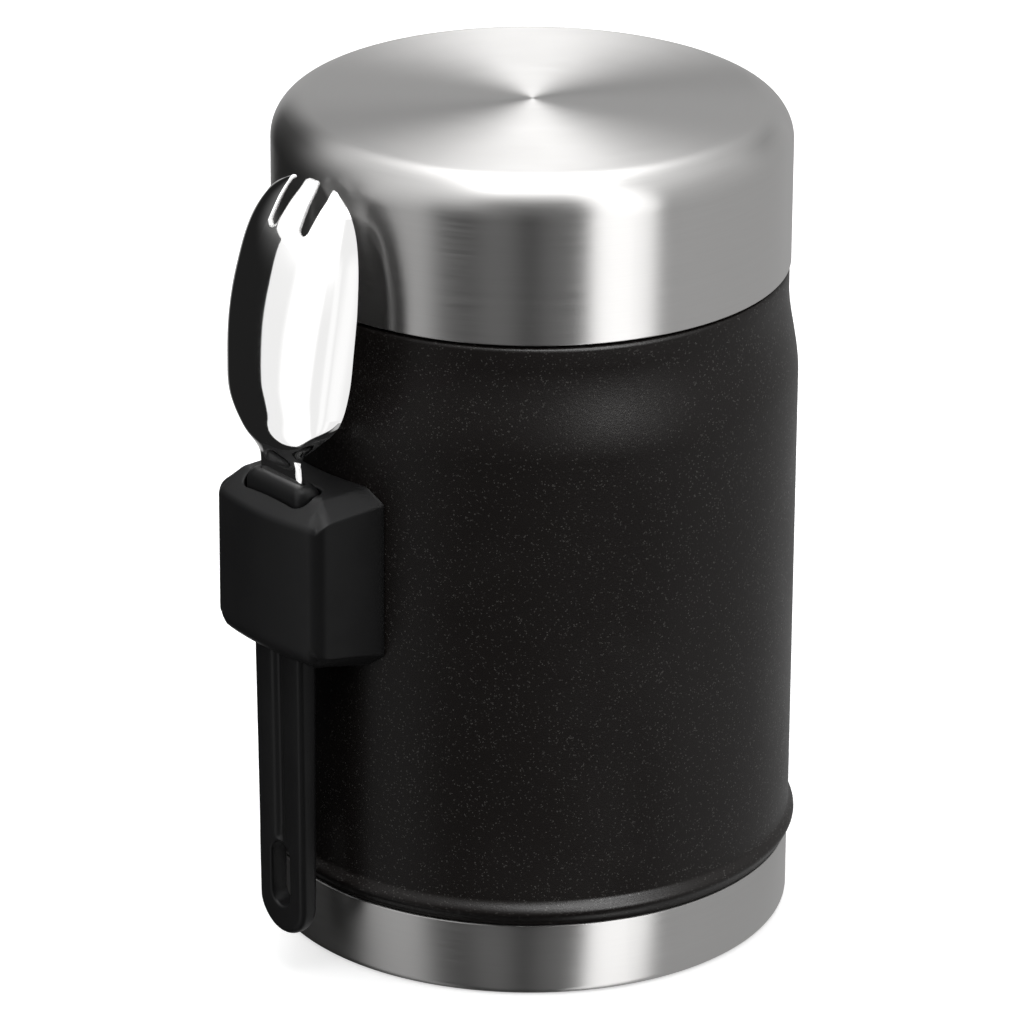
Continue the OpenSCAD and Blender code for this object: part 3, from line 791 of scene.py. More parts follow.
class Turner(NodeTool):
    """Turns a half-section round the jar's axis."""

    RADIUS = 50.0
    SEGMENTS = 320
    CREASE = 28.0

    def __init__(self) -> None:
        """Builds the tree."""
        super().__init__("turned_piece", {
            "Section": "Geometry", "Radius": "Float", "Segments": "Int", "Finish": "Material"})
        graph, given = self.graph, self.given
        section = graph.add("GeometryNodeMeshToCurve", Mesh=given["Section"]).outputs[0]
        circle = graph.add(
            "GeometryNodeCurvePrimitiveCircle", Resolution=given["Segments"], Radius=given["Radius"])
        upright = graph.add("GeometryNodeSetCurveNormal", {"mode": "Z_UP"}, Curve=circle.outputs[0])
        swept = graph.add("GeometryNodeCurveToMesh", Curve=upright.outputs[0], Profile_Curve=section)
        whole = swept.outputs[0]
        merged = graph.add("GeometryNodeMergeByDistance", Geometry=whole, Distance=SLIVER_LENGTH)
        self.deliver(merged.outputs[0])

    def turn(self, name: str, outline: Sequence[Point2], finish: bpy.types.Material) -> bpy.types.Object:
        """Turns a half-section.

        Args:
            name: The piece's name.
            outline: The section's points, as radius and height in millimetres. It is closed, unless it
                starts and ends on the axis.
            finish: The piece's material.

        Returns:
            The turned piece as a plain mesh.
        """
        size = len(outline)
        on_axis = outline[0][0] == 0 and outline[-1][0] == 0
        edges = [(i, (i + 1) % size) for i in range(size - on_axis)]
        mesh = bpy.data.meshes.new(name)
        mesh.from_pydata([((r - self.RADIUS) * MM, -z * MM, 0) for r, z in outline], edges, [])
        return self.run(
            name, mesh, self.CREASE, Radius=self.RADIUS * MM, Segments=self.SEGMENTS, Finish=finish)


@dataclass(frozen=True)
class Thread:
    """A two-start thread: ridges that run up a wall and fade into it at both ends."""

    wall: float
    rise: float
    turns: float
    phase: float
    height: float
    lead: float = 8.0
    root: float = 2.0
    crest: float = 0.8
    sink: float = 0.3
    starts: int = 2


class ThreadRoller(NodeTool):
    """Runs a ridge along a helix, once for each start."""

    LENGTHS = ("Wall", "Rise", "Sink", "Height", "Lead", "Root", "Crest")
    ROUNDING = 0.25
    FADE = 0.08  # of the ridge's length, at each end
    END_SCALE = 0.12  # of the ridge's section
    STEPS_PER_TURN = 160
    CREASE = 35.0

    def __init__(self) -> None:
        """Builds the tree."""
        super().__init__("rolled_thread", {
            "Base": "Geometry", **dict.fromkeys((*self.LENGTHS, "Turns", "Phase"), "Float"),
            "Starts": "Int", "Steps": "Int", "Finish": "Material"})
        graph, given = self.graph, self.given
        share = graph.add("GeometryNodeSplineParameter").outputs["Factor"]
        path = self._helix(share)
        to_end = graph.math("MINIMUM", share, graph.math("SUBTRACT", 1.0, share))
        ridge = graph.add(
            "GeometryNodeCurveToMesh", Curve=path, Profile_Curve=self._profile(),
            Scale=graph.ramp(to_end, 0.0, self.FADE, self.END_SCALE, 1.0), Fill_Caps=True)
        starts = graph.add("GeometryNodeMeshLine", Count=given["Starts"], Offset=(0.0, 0.0, 0.0))
        index = graph.add("GeometryNodeInputIndex").outputs[0]
        spin = graph.product(graph.math("DIVIDE", index, given["Starts"]), math.tau)
        ridges = graph.add(
            "GeometryNodeInstanceOnPoints", Points=starts.outputs[0], Instance=ridge.outputs[0],
            Rotation=graph.vector(0.0, 0.0, spin))
        self.deliver(ridges.outputs[0])

    def _helix(self, share: bpy.types.NodeSocket) -> bpy.types.NodeSocket:
        """Draws one start's path, given the share of the way along it."""
        graph, given = self.graph, self.given
        line = graph.add("GeometryNodeCurvePrimitiveLine")
        path = graph.add("GeometryNodeResampleCurve", Curve=line.outputs[0], Count=given["Steps"])
        turned = graph.product(share, given["Turns"])
        angle = graph.product(graph.total(turned, given["Phase"]), math.tau)
        x, y = (graph.product(graph.math(kind, angle), given["Wall"]) for kind in ("COSINE", "SINE"))
        place = graph.vector(x, y, graph.total(given["Height"], graph.product(turned, given["Lead"])))
        helix = graph.add("GeometryNodeSetPosition", Geometry=path.outputs[0], Position=place)
        upright = graph.add("GeometryNodeSetCurveNormal", {"mode": "Z_UP"}, Curve=helix.outputs[0])
        return upright.outputs[0]

    def _profile(self) -> bpy.types.NodeSocket:
        """Draws the ridge's section, which points the way that it rises."""
        graph, given = self.graph, self.given
        rise = graph.math("ABSOLUTE", given["Rise"])
        profile = graph.add(
            "GeometryNodeCurvePrimitiveQuadrilateral", {"mode": "TRAPEZOID"}, Offset=0.0,
            Height=graph.total(rise, given["Sink"]),
            Bottom_Width=given["Root"], Top_Width=given["Crest"])
        rounded = graph.add(
            "GeometryNodeFilletCurve", {"mode": "POLY"}, Curve=profile.outputs[0], Count=4,
            Radius=self.ROUNDING * MM, Limit_Radius=True)
        middle = graph.math("DIVIDE", graph.math("SUBTRACT", rise, given["Sink"]), 2.0)
        up = graph.vector(0.0, middle, 0.0)
        raised = graph.add("GeometryNodeTransform", Geometry=rounded.outputs[0], Translation=up)
        turn = graph.product(graph.math("SIGN", given["Rise"]), -math.pi / 2)
        spin = graph.vector(0.0, 0.0, turn)
        turned = graph.add("GeometryNodeTransform", Geometry=raised.outputs[0], Rotation=spin)
        return turned.outputs[0]

    def roll(self, name: str, thread: Thread, finish: bpy.types.Material) -> bpy.types.Object:
        """Makes a thread's ridges.

        Args:
            name: The object's name.
            thread: The thread's sizes.
            finish: The ridges' material.

        Returns:
            The ridges as a plain mesh.
        """
        lengths = {key: getattr(thread, key.lower()) * MM for key in self.LENGTHS}
        count = round(self.STEPS_PER_TURN * thread.turns)
        return self.run(
            name, bpy.data.meshes.new(name), self.CREASE, Turns=thread.turns, Phase=thread.phase,
            Starts=thread.starts, Steps=count, Finish=finish, **lengths)


PIECES: dict[str, bpy.types.Object] = {}
"""The finished pieces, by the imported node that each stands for."""


def stand_for(obj: bpy.types.Object, node: str, body: Body) -> None:
    """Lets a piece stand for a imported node.

    Args:
        obj: The piece.
        node: The node that it replaces.
        body: The body that it rides on.
    """
    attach(obj, body.value)
    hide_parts(node)
    PIECES[node] = obj
    log.info("%s: %d faces, rides on %s", obj.name, len(obj.data.polygons), body.value)


def merge_into(obj: bpy.types.Object, other: bpy.types.Object) -> None:
    """Adds another object's mesh, with its materials, to an object and removes the other."""
    with bpy.context.temp_override(active_object=obj, selected_editable_objects=[obj, other]):
        bpy.ops.object.join()


class Workshop:
    """The tools and materials that the pieces are made with."""

    def __init__(self) -> None:
        """Gets everything ready."""
        self.finishes = Finishes()
        self.turner = Turner()
        self.roller = ThreadRoller()

    def turn(self, node: str, outline: Sequence[Point2], body: Body, finish: str) -> None:
        """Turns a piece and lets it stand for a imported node.

        Args:
            node: The node.
            outline: The piece's half-section.
            body: The body that it rides on.
            finish: The name of its finish and of its slot.
        """
        piece = self.turner.turn(node, outline, self.finishes.made[finish])
        stand_for(piece, node, body)

    def turn_threaded(
        self, name: str, outline: Sequence[Point2], finish: str, thread: Thread, thread_finish: str
    ) -> bpy.types.Object:
        """Turns a piece and rolls a thread on it.

        Args:
            name: The piece's name.
            outline: Its half-section.
            finish: The name of its finish.
            thread: The thread's sizes.
            thread_finish: The name of the thread's finish.

        Returns:
            The piece with its thread.
        """
        piece = self.turner.turn(name, outline, self.finishes.made[finish])
        merge_into(piece, self.roller.roll(f"{name}_thread", thread, self.finishes.made[thread_finish]))
        return piece


@dataclass
class Vessel:
    """The double-walled jar: painted outer shell, inner vessel and bare steel base cup."""

    ledge_z: float = 118.3
    band_inset: float = 0.25
    band_h: float = 4.0
    band_round: float = 0.8
    shoulder_h: float = 15.9
    bead_z: float = 13.6
    bead_h: float = 4.6
    bead_proud: float = 1.1
    cup_h: float = 13.2
    cup_inset: float = 0.15
    cup_round: float = 1.4
    cup_gap: float = 0.1
    foot_w: float = 7.0
    foot_recess: float = 1.5
    neck_r: float = 40.0
    neck_h: float = 17.7
    neck_round: float = 0.5
    thread_up: float = 3.7
    thread_rise: float = 1.2
    thread_phase: float = 0.5 / 60
    lip_t: float = 0.6
    bore_r: float = 36.5
    bore_t: float = 0.5
    floor_z: float = 16.5
    floor_round: float = 9.0
    coat_edge: float = 41.6

    def build(self, shop: Workshop) -> None:
        """Builds and dresses the jar's turned pieces."""
        self.outer_shell(shop)
        shop.turn("inner_vessel", self.inner_vessel(), Body.JAR, "vessel_steel")
        shop.turn("base_cup", self.base_cup(), Body.JAR, "brushed_base")

    def shell_side(self, inset: float) -> list[Point2]:
        """Draws the outer shell from foot to lip, set in from its outer face."""
        cup_r = WALL_R - self.cup_inset
        step_r = cup_r - JAR_SHEET - self.cup_gap
        band_r = LID_R - self.band_inset
        shoulder_z = self.ledge_z - self.band_h - self.shoulder_h
        points = [(step_r - inset, self.cup_round), (step_r - inset, self.cup_h - inset / 2)]
        for u in steps(0, 1, 36):
            swell = self.bead_proud * (1 - math.cos(math.tau * u)) / 2
            points.append((lerp(cup_r, WALL_R, u) - inset + swell, self.bead_z + self.bead_h * u))
        for u in steps(0, 1, 40):
            radius = lerp(WALL_R, band_r, smooth(u)) - inset
            points.append((radius, shoulder_z + self.shoulder_h * u))
        turn_r = self.band_round - inset
        for angle in steps(0, math.pi / 2, 8):
            points.append((
                band_r - self.band_round + turn_r * math.cos(angle),
                self.ledge_z - self.band_round + turn_r * math.sin(angle)))
        corner = self.neck_round + inset
        for angle in steps(-math.pi / 2, -math.pi, 6):
            points.append((
                self.neck_r + self.neck_round + corner * math.cos(angle),
                self.ledge_z + self.neck_round + corner * math.sin(angle)))
        points.append((self.neck_r - inset, self.ledge_z + self.neck_h - self.lip_t))
        return points

    def outer_shell(self, shop: Workshop) -> None:
        """Makes the painted shell, whose neck and thread are bare."""
        outline = self.shell_side(0) + self.shell_side(JAR_SHEET)[::-1]
        phase = self.thread_phase
        height = self.ledge_z + self.thread_up + Thread.lead * phase
        thread = Thread(self.neck_r, self.thread_rise, 1.0, phase, height)
        shell = shop.turn_threaded("outer_shell", outline, "black_powder_coat", thread, "neck_steel")
        shop.finishes.dress(shell, "black_powder_coat", "neck_steel")
        bare_r, bare_z = self.coat_edge * MM, (self.ledge_z - JAR_SHEET * 1.5) * MM
        for face in shell.data.polygons:
            middle = face.center
            inside = math.hypot(middle.x, middle.y) < bare_r and middle.z > bare_z
            face.material_index = 1 if inside else 0
        stand_for(shell, "outer_shell", Body.JAR)

    def inner_vessel(self) -> list[Point2]:
        """Draws the food cavity with its rolled lip."""
        out_r = self.bore_r + self.bore_t
        lip_z = self.ledge_z + self.neck_h
        low_lip = lip_z - self.lip_t
        floor_top = self.floor_z + self.bore_t
        return fillet([
            (0, self.floor_z, 0), (out_r, self.floor_z, self.floor_round + self.bore_t),
            (out_r, low_lip, 0.3), (self.neck_r, low_lip, 0.1), (self.neck_r, lip_z, 0.45),
            (self.bore_r, lip_z, 0.8), (self.bore_r, floor_top, self.floor_round), (0, floor_top, 0),
        ], closed=False, count=12)

    def base_cup(self) -> list[Point2]:
        """Draws the bare steel cup round the foot."""
        cup_r = WALL_R - self.cup_inset
        foot_in = cup_r - self.cup_round - self.foot_w
        raised_r = foot_in - self.foot_recess
        inner_r = cup_r - JAR_SHEET
        top = JAR_SHEET + self.foot_recess
        return fillet([
            (0, self.foot_recess, 0), (raised_r, self.foot_recess, 1.0), (foot_in, 0, 1.0),
            (cup_r, 0, self.cup_round), (cup_r, self.cup_h, 0.25), (inner_r, self.cup_h, 0.1),
            (inner_r, JAR_SHEET, self.cup_round - JAR_SHEET), (foot_in, JAR_SHEET, 1.0),
            (raised_r, top, 1.0), (0, top, 0),
        ], closed=False)


@dataclass
class Lid:
    """The screw-on lid: steel shell, plastic liner with thread and plug, plug cover and gasket."""

    low_z: float = 118.8
    top_z: float = 147.0
    top_round: float = 6.5
    top_rings: tuple[float, ...] = (33.0, 27.0, 20.0, 14.0, 9.0, 5.0, 2.5, 1.0)
    press_gap: float = 0.1
    liner_t: float = 1.5
    liner_inset: float = 0.6
    plug_r: float = 35.9
    plug_z: float = 126.4
    cover_t: float = 1.2
    spigot_h: float = 1.4
    deck_z: float = 138.45
    gasket_z: float = 136.05
    gasket_h: float = 2.2
    gasket_w: float = 3.2
    gasket_round: float = 0.45
    seat_gap: float = 0.2
    crest_r: float = 40.6
    thread_start: float = 12.5 / 60
    thread_up: float = 1.2

    def build(self, shop: Workshop) -> None:
        """Builds and dresses the lid's turned pieces."""
        shop.turn("lid_shell", self.shell(), Body.LID, "brushed_lid")
        self.liner(shop)
        shop.turn("plug_cover", self.plug_cover(), Body.LID, "liner_plastic")
        shop.turn("lid_gasket", self.gasket(), Body.GASKET_CARRIER, "gasket_silicone")

    def shell(self) -> list[Point2]:
        """Draws the steel shell."""
        inner_r = LID_R - JAR_SHEET
        inner_top = self.top_z - JAR_SHEET
        outline = fillet([
            (0, inner_top, 0), (inner_r, inner_top, self.top_round - JAR_SHEET),
            (inner_r, self.low_z, 0.1), (LID_R, self.low_z, 0.3),
            (LID_R, self.top_z, self.top_round), (0, self.top_z, 0),
        ], closed=False, count=28)
        return outline[:-1] + [(r, self.top_z) for r in self.top_rings] + outline[-1:]

    def liner(self, shop: Workshop) -> None:
        """Makes the plastic liner."""
        out_r = LID_R - JAR_SHEET - self.press_gap
        skirt_in = out_r - self.liner_t
        plug_in = self.plug_r - self.liner_t
        low = self.low_z + self.liner_inset
        top = self.deck_z + self.liner_t
        outline = fillet([
            (out_r, low, 0.25), (out_r, top, 0.4), (plug_in, top, 0.4), (plug_in, self.plug_z, 0.15),
            (self.plug_r, self.plug_z, 0.15), (self.plug_r, self.deck_z, 0.5),
            (skirt_in, self.deck_z, 0.5), (skirt_in, low, 0.5),
        ])
        start = self.thread_start
        height = self.low_z + self.thread_up + Thread.lead * start
        thread = Thread(skirt_in, self.crest_r - skirt_in, 0.75, start, height)
        liner = shop.turn_threaded("lid_liner", outline, "liner_plastic", thread, "liner_plastic")
        shop.finishes.dress(liner, "liner_plastic")
        stand_for(liner, "lid_liner", Body.LID)

    def plug_cover(self) -> list[Point2]:
        """Draws the cover that closes the plug from below."""
        spigot_r = self.plug_r - self.liner_t - self.press_gap
        low = self.plug_z - self.cover_t
        high = self.plug_z + self.spigot_h
        return fillet([
            (0, low, 0), (self.plug_r, low, 0.8), (self.plug_r, self.plug_z, 0.1),
            (spigot_r, self.plug_z, 0.1), (spigot_r, high, 0.3), (0, high, 0),
        ], closed=False)

    def gasket(self) -> list[Point2]:
        """Draws the silicone ring with its two sealing lips."""
        low_r = self.plug_r + self.seat_gap
        high_r = low_r + self.gasket_w
        low, high = self.gasket_z, self.gasket_z + self.gasket_h
        middle = (low_r + high_r) / 2
        corner = self.gasket_round
        return fillet([
            (low_r, low, corner), (middle - 0.35, low, 0.2), (middle - 0.15, low + 0.35, 0.1),
            (middle + 0.15, low + 0.35, 0.1), (middle + 0.35, low, 0.2), (high_r, low, corner),
            (high_r, high, corner), (low_r, high, corner),
        ])


# ---- Spork holder ------------------------------------------------------------


@dataclass(frozen=True)
class Counts:
    """How many pieces each stretch of a holder section has, so that all sections match."""

    back: int = 40
    back_corner: int = 5
    side: int = 20
    front_corner: int = 14
    front: int = 28


@dataclass(frozen=True)
class Slope:
    """How a face of the housing falls away towards one of its walls, and rounds into it.

    The fall is straight near the jar. From round_from outwards it turns into a wider arc.
    """

    ROUNDING_RUN = 12.0
    WIDENING = 0.25
    GROWTH_FROM = 46.0

    width: float = 0.0
    height: float = 0.0
    growth: float = 0.0
    power: float = 1.0
    blend: float = 0.12
    edge: float = 0.4
    turn: float = 90.0
    round_from: float = 1000.0

    def fall(self, inset: float, x: float) -> float:
        """Gives how far the face has fallen at a place.

        Args:
            inset: The place's distance from the wall.
            x: Its distance from the plane through the jar's axis.

        Returns:
            The fall from the level face.
        """
        roundness = smooth((x - self.round_from) / self.ROUNDING_RUN)
        share = max(0.0, inset) / (self.width * (1 + self.WIDENING * roundness))
        raw = 1 - share**self.power
        if raw < self.blend:
            raw = max(0.0, raw + self.blend) ** 2 / (4 * self.blend)
        arc = 1 - math.sqrt(1 - (1 - min(1.0, share)) ** 2)
        return (self.height + self.growth * (x - self.GROWTH_FROM)) * lerp(raw, arc, roundness)

    def inset(self, share: float) -> float:
        """How far the rounded edge has left the wall at a share of its turn."""
        return self.edge * (1 - math.cos(math.radians(self.turn * share)))

    def drop(self, share: float) -> float:
        """How far the rounded edge still is from its upper end at a share of its turn."""
        turn = math.radians(self.turn)
        return self.edge * (math.sin(turn) - math.sin(turn * share))


@dataclass(frozen=True)
class PlanPoint:
    """A point of the housing's plan, with how much it follows the front's and the jar wall's profile."""

    x: float
    y: float
    front: float = 0.0
    wall: float = 0.0


@dataclass
class Holder:
    """The plastic housing on the jar's side, drawn with x outwards from the axis."""

    wall_gap: float = 0.1
    top_z: float = 90.85
    low_z: float = 57.75
    low_slope: float = 0.2295
    plan_x: float = 44.0
    back_half: float = 14.05
    front_half: float = 13.75
    front_r: float = 60.7
    corner_r: float = 3.0
    least_corner: float = 0.6
    bow_r: float = 48.0
    bevel: Slope = Slope(3.6, 2.7, 0.045, blend=0.15, edge=0.55, turn=53.0)
    brow: Slope = Slope(4.9, 4.0, power=0.87, blend=0.12, edge=1.8, turn=46.0)
    chin: Slope = Slope(3.3, 2.9, 0.09, blend=0.1, edge=0.7, turn=44.0, round_from=46.0)
    toe: Slope = Slope(3.0, 3.6, edge=3.6, turn=50.0, round_from=0.0)
    wall_edge: Slope = Slope()
    ridge: float = 2.2
    ridge_run: float = 1.5
    seat_h: float = 4.95
    seat_w: float = 16.5
    seat_t: float = 5.8
    seat_round: float = 2.4
    seat_corner: float = 0.15
    channel_w: float = 13.6
    channel_t: float = 5.2
    channel_round: float = 1.55
    channel_rows: tuple[float, ...] = (8.0, 16.0)  # over the underside
    channel_top: float = 4.0  # under the seat
    lead_in: float = 0.25
    wall_corner: float = 0.5
    support: float = 0.3
    rim_round: float = 0.35
    pocket_r: float = 51.05
    pocket_w: float = 22.4
    pocket_h: float = 25.4
    pocket_drop: float = 3.05
    pocket_reach: float = 6.0  # inwards past the jar's wall
    counts: Counts = Counts()
    rows: tuple[float, ...] = (1, 0.88, 0.79, 0.73, 0.68, 0.63, 0.58, 0.53, 0.47, 0.38, 0.26, 0.14, 0.06)

    def side_at(self, x: float) -> float:
        """Half the housing's width at a distance from the jar's axis."""
        share = (x - self.plan_x) / (self.front_r - self.corner_r - self.plan_x)
        return lerp(self.back_half, self.front_half, share)

    def level(self, x: float, y: float, up: int) -> float:
        """Gives the height of the top or of the underside.

        Args:
            x: The place's distance outwards.
            y: Its distance sideways.
            up: 1 for the top, -1 for the underside.

        Returns:
            The face's height there.
        """
        side, front = (self.bevel, self.brow) if up > 0 else (self.chin, self.toe)
        to_side = self.side_at(x) - abs(y)
        to_front = self.front_r - self.bow_r + math.sqrt(self.bow_r**2 - y * y) - x
        beyond = [max(0.0, self.corner_r - distance) for distance in (to_side, to_front)]
        cut = math.hypot(*beyond) - max(beyond)
        falls = (side.fall(to_side - cut, x), front.fall(to_front - cut, x))
        blend = self.ridge * smooth(min(falls) / self.ridge_run) + 1e-6
        fall = max(falls) + blend / 4 * max(0.0, 1 - abs(falls[0] - falls[1]) / blend) ** 2
        if up > 0:
            return self.top_z - fall
        return self.low_z + self.low_slope * (x - self.plan_x) + fall

    def plan(self, side: float, front: float, back: float) -> list[PlanPoint]:
        """Draws the housing's plan, set in at its sides, its outer face and the jar's wall.

        Args:
            side: How far the sides are set in.
            front: How far the outer face is set in.
            back: How far the edge at the jar's wall is set in.

        Returns:
            The points, from the jar's wall along one side, the outer face and the other side.
        """
        n = self.counts
        jar_r = WALL_R + self.wall_gap + back
        corner = max(self.corner_r - (side + front) / 2, self.least_corner)
        bow_x = self.front_r - front - self.bow_r
        corner_y = self.front_half - side - corner
        corner_x = bow_x + math.sqrt((self.bow_r - corner) ** 2 - corner_y**2)
        face = math.atan2(corner_y, corner_x - bow_x)
        slope = (self.front_half - self.back_half) / (corner_x - self.plan_x)

        def side_at(x: float) -> float:
            return self.back_half - side + slope * (x - self.plan_x)

        join_x = math.sqrt(jar_r**2 - side_at(self.plan_x) ** 2)
        join = (join_x, side_at(join_x))
        edge = self.wall_corner
        on_wall = math.atan2(join[1], join[0]) - edge / jar_r
        wall_end = (jar_r * math.cos(on_wall), jar_r * math.sin(on_wall))
        side_start = (join[0] + edge, side_at(join[0] + edge))
        half: list[PlanPoint] = []
        for t in steps(0, 1, n.back_corner)[:-1]:
            a, b, c = (1 - t) ** 2, 2 * t * (1 - t), t * t
            x, y = (a * wall_end[i] + b * join[i] + c * side_start[i] for i in (0, 1))
            half.append(PlanPoint(x, y, 0.0, 1 - smooth(t)))
        for t in steps(0, 1, n.side)[:-1]:
            x = lerp(side_start[0], corner_x, t)
            half.append(PlanPoint(x, side_at(x)))
        for t in steps(0, 1, n.front_corner)[:-1]:
            angle = lerp(math.pi / 2, face, t)
            half.append(PlanPoint(
                corner_x + corner * math.cos(angle), corner_y + corner * math.sin(angle), smooth(t)))
        outer = [PlanPoint(bow_x + self.bow_r * math.cos(a), self.bow_r * math.sin(a), 1.0)
                 for a in steps(face, -face, n.front)]
        mirrored = [PlanPoint(p.x, -p.y, p.front, p.wall) for p in reversed(half)]
        wall = [PlanPoint(jar_r * math.cos(on_wall * t), jar_r * math.sin(on_wall * t), 0.0, 1.0)
                for t in self.back_run()]
        return half + outer + mirrored + wall

    def back_run(self) -> list[float]:
        """Places between -1 and 1 along the back, closer together near its ends."""
        return [(3 * t - t**3) / 2 for t in steps(-1, 1, self.counts.back)[1:-1]]

    def slot(self, width: float, depth: float, radius: float, grow: float = 0.0) -> list[Point2]:
        """Draws a rounded slot whose points match the plan's.

        Args:
            width: The slot's width across the holder.
            depth: Its depth, outwards from the jar.
            radius: Its corners' radius.
            grow: How much larger it is all round.

        Returns:
            The points, in the order of the plan's.
        """
        n = self.counts
        x = depth / 2 - radius
        y = width / 2 - radius
        radius += grow
        corner_back = [(-x + radius * math.cos(a), y + radius * math.sin(a))
                       for a in steps(math.pi, math.pi / 2, n.back_corner)[:-1]]
        side = [(lerp(-x, x, t), y + radius) for t in steps(0, 1, n.side)[:-1]]
        corner_front = [(x + radius * math.cos(a), y + radius * math.sin(a))
                        for a in steps(math.pi / 2, 0, n.front_corner)[:-1]]
        half = corner_back + side + corner_front
        front = [(x + radius, lerp(y, -y, t)) for t in steps(0, 1, n.front)]
        mirrored = [(px, -py) for px, py in reversed(half)]
        back = [(-x - radius, y * t) for t in self.back_run()]
        return [(SPORK_R + px, py) for px, py in half + front + mirrored + back]

    def face(self, opening: tuple[float, float, float], up: int) -> list[list[Point3]]:
        """Lays rings over the top or the underside, from inside a slot's mouth to the walls.

        Args:
            opening: The slot's width, depth and corner radius.
            up: 1 for the top, -1 for the underside.

        Returns:
            The rings.
        """
        rim = self.rim_round
        side, front = (self.bevel, self.brow) if up > 0 else (self.chin, self.toe)
        mouth = self.slot(*opening, grow=rim)
        high = [self.level(x, y, up) for x, y in mouth]
        rings: list[list[Point3]] = []
        for a in steps(0, math.pi / 2, 5)[:-1]:
            outline = self.slot(*opening, grow=rim * (1 - math.cos(a)))
            rings.append([(x, y, z - up * rim * (1 - math.sin(a))) for (x, y), z in zip(outline, high)])
        inner = self.plan(side.inset(1), front.inset(1), self.wall_edge.inset(1))
        for share in self.rows:
            ring = [(lerp(p.x, m[0], share), lerp(p.y, m[1], share)) for p, m in zip(inner, mouth)]
            rings.append([(x, y, self.level(x, y, up)) for x, y in ring])
        edges = [self.level(p.x, p.y, up) for p in inner]
        for t in steps(1, 0, 9):
            outline = self.plan(side.inset(t), front.inset(t), self.wall_edge.inset(t))
            ring = []
            for p, z in zip(outline, edges):
                drop = lerp(side.drop(t), front.drop(t), p.front)
                ring.append((p.x, p.y, z - up * lerp(drop, self.wall_edge.drop(t), p.wall)))
            rings.append(ring)
        rings.append([(x, y, z - up * self.support) for x, y, z in rings[-1]])
        return rings

    def build(self, shop: Workshop) -> None:
        """Builds and dresses the housing."""
        seat_z = self.top_z - self.seat_h
        seat = (self.seat_w, self.seat_t, self.seat_round)
        channel = (self.channel_w, self.channel_t, self.channel_round)
        lead_in = self.lead_in
        rows = [*(self.low_z + up for up in self.channel_rows), seat_z - self.channel_top]
        levels = [(channel, 0.0, z) for z in rows]
        for a in steps(math.pi / 2, 0, 3):
            levels.append((channel, lead_in * (1 - math.sin(a)), seat_z - lead_in * (1 - math.cos(a))))
        corner = self.seat_corner
        levels += [(seat, -corner, seat_z), (seat, 0.0, seat_z + corner), (seat, 0.0, seat_z + 2)]
        rings = self.face(seat, 1) + self.face(channel, -1)[::-1]
        rings += [[(x, y, z) for x, y in self.slot(*opening, grow=grow)] for opening, grow, z in levels]
        placed = [[holder_side(p) for p in ring] for ring in rings]
        housing = rings_mesh("holder_housing", placed, wrap=True)
        combine(housing, self.pocket(), Cut.AWAY)
        finish_mesh(housing, crease=40.0)
        shop.finishes.dress(housing, "holder_plastic")
        stand_for(housing, "holder_housing", Body.JAR)

    def pocket(self) -> bpy.types.Object:
        """Makes the space for the back frame, the nuts and the studs."""
        high = self.top_z - self.pocket_drop
        low = high - self.pocket_h
        half = self.pocket_w / 2
        near, far = WALL_R - self.pocket_reach, self.pocket_r
        ring = [(near, -half), (far, -half), (far, half), (near, half)]
        rings = [[holder_side((x, y, z)) for x, y in ring] for z in (low, high)]
        return rings_mesh("pocket", rings)


# ---- Spork -------------------------------------------------------------------


@dataclass(frozen=True)
class Station:
    """A place along the bowl: how far up, then half-width, depth and lean as shares of the largest."""

    up: float
    width: float
    depth: float
    lean: float


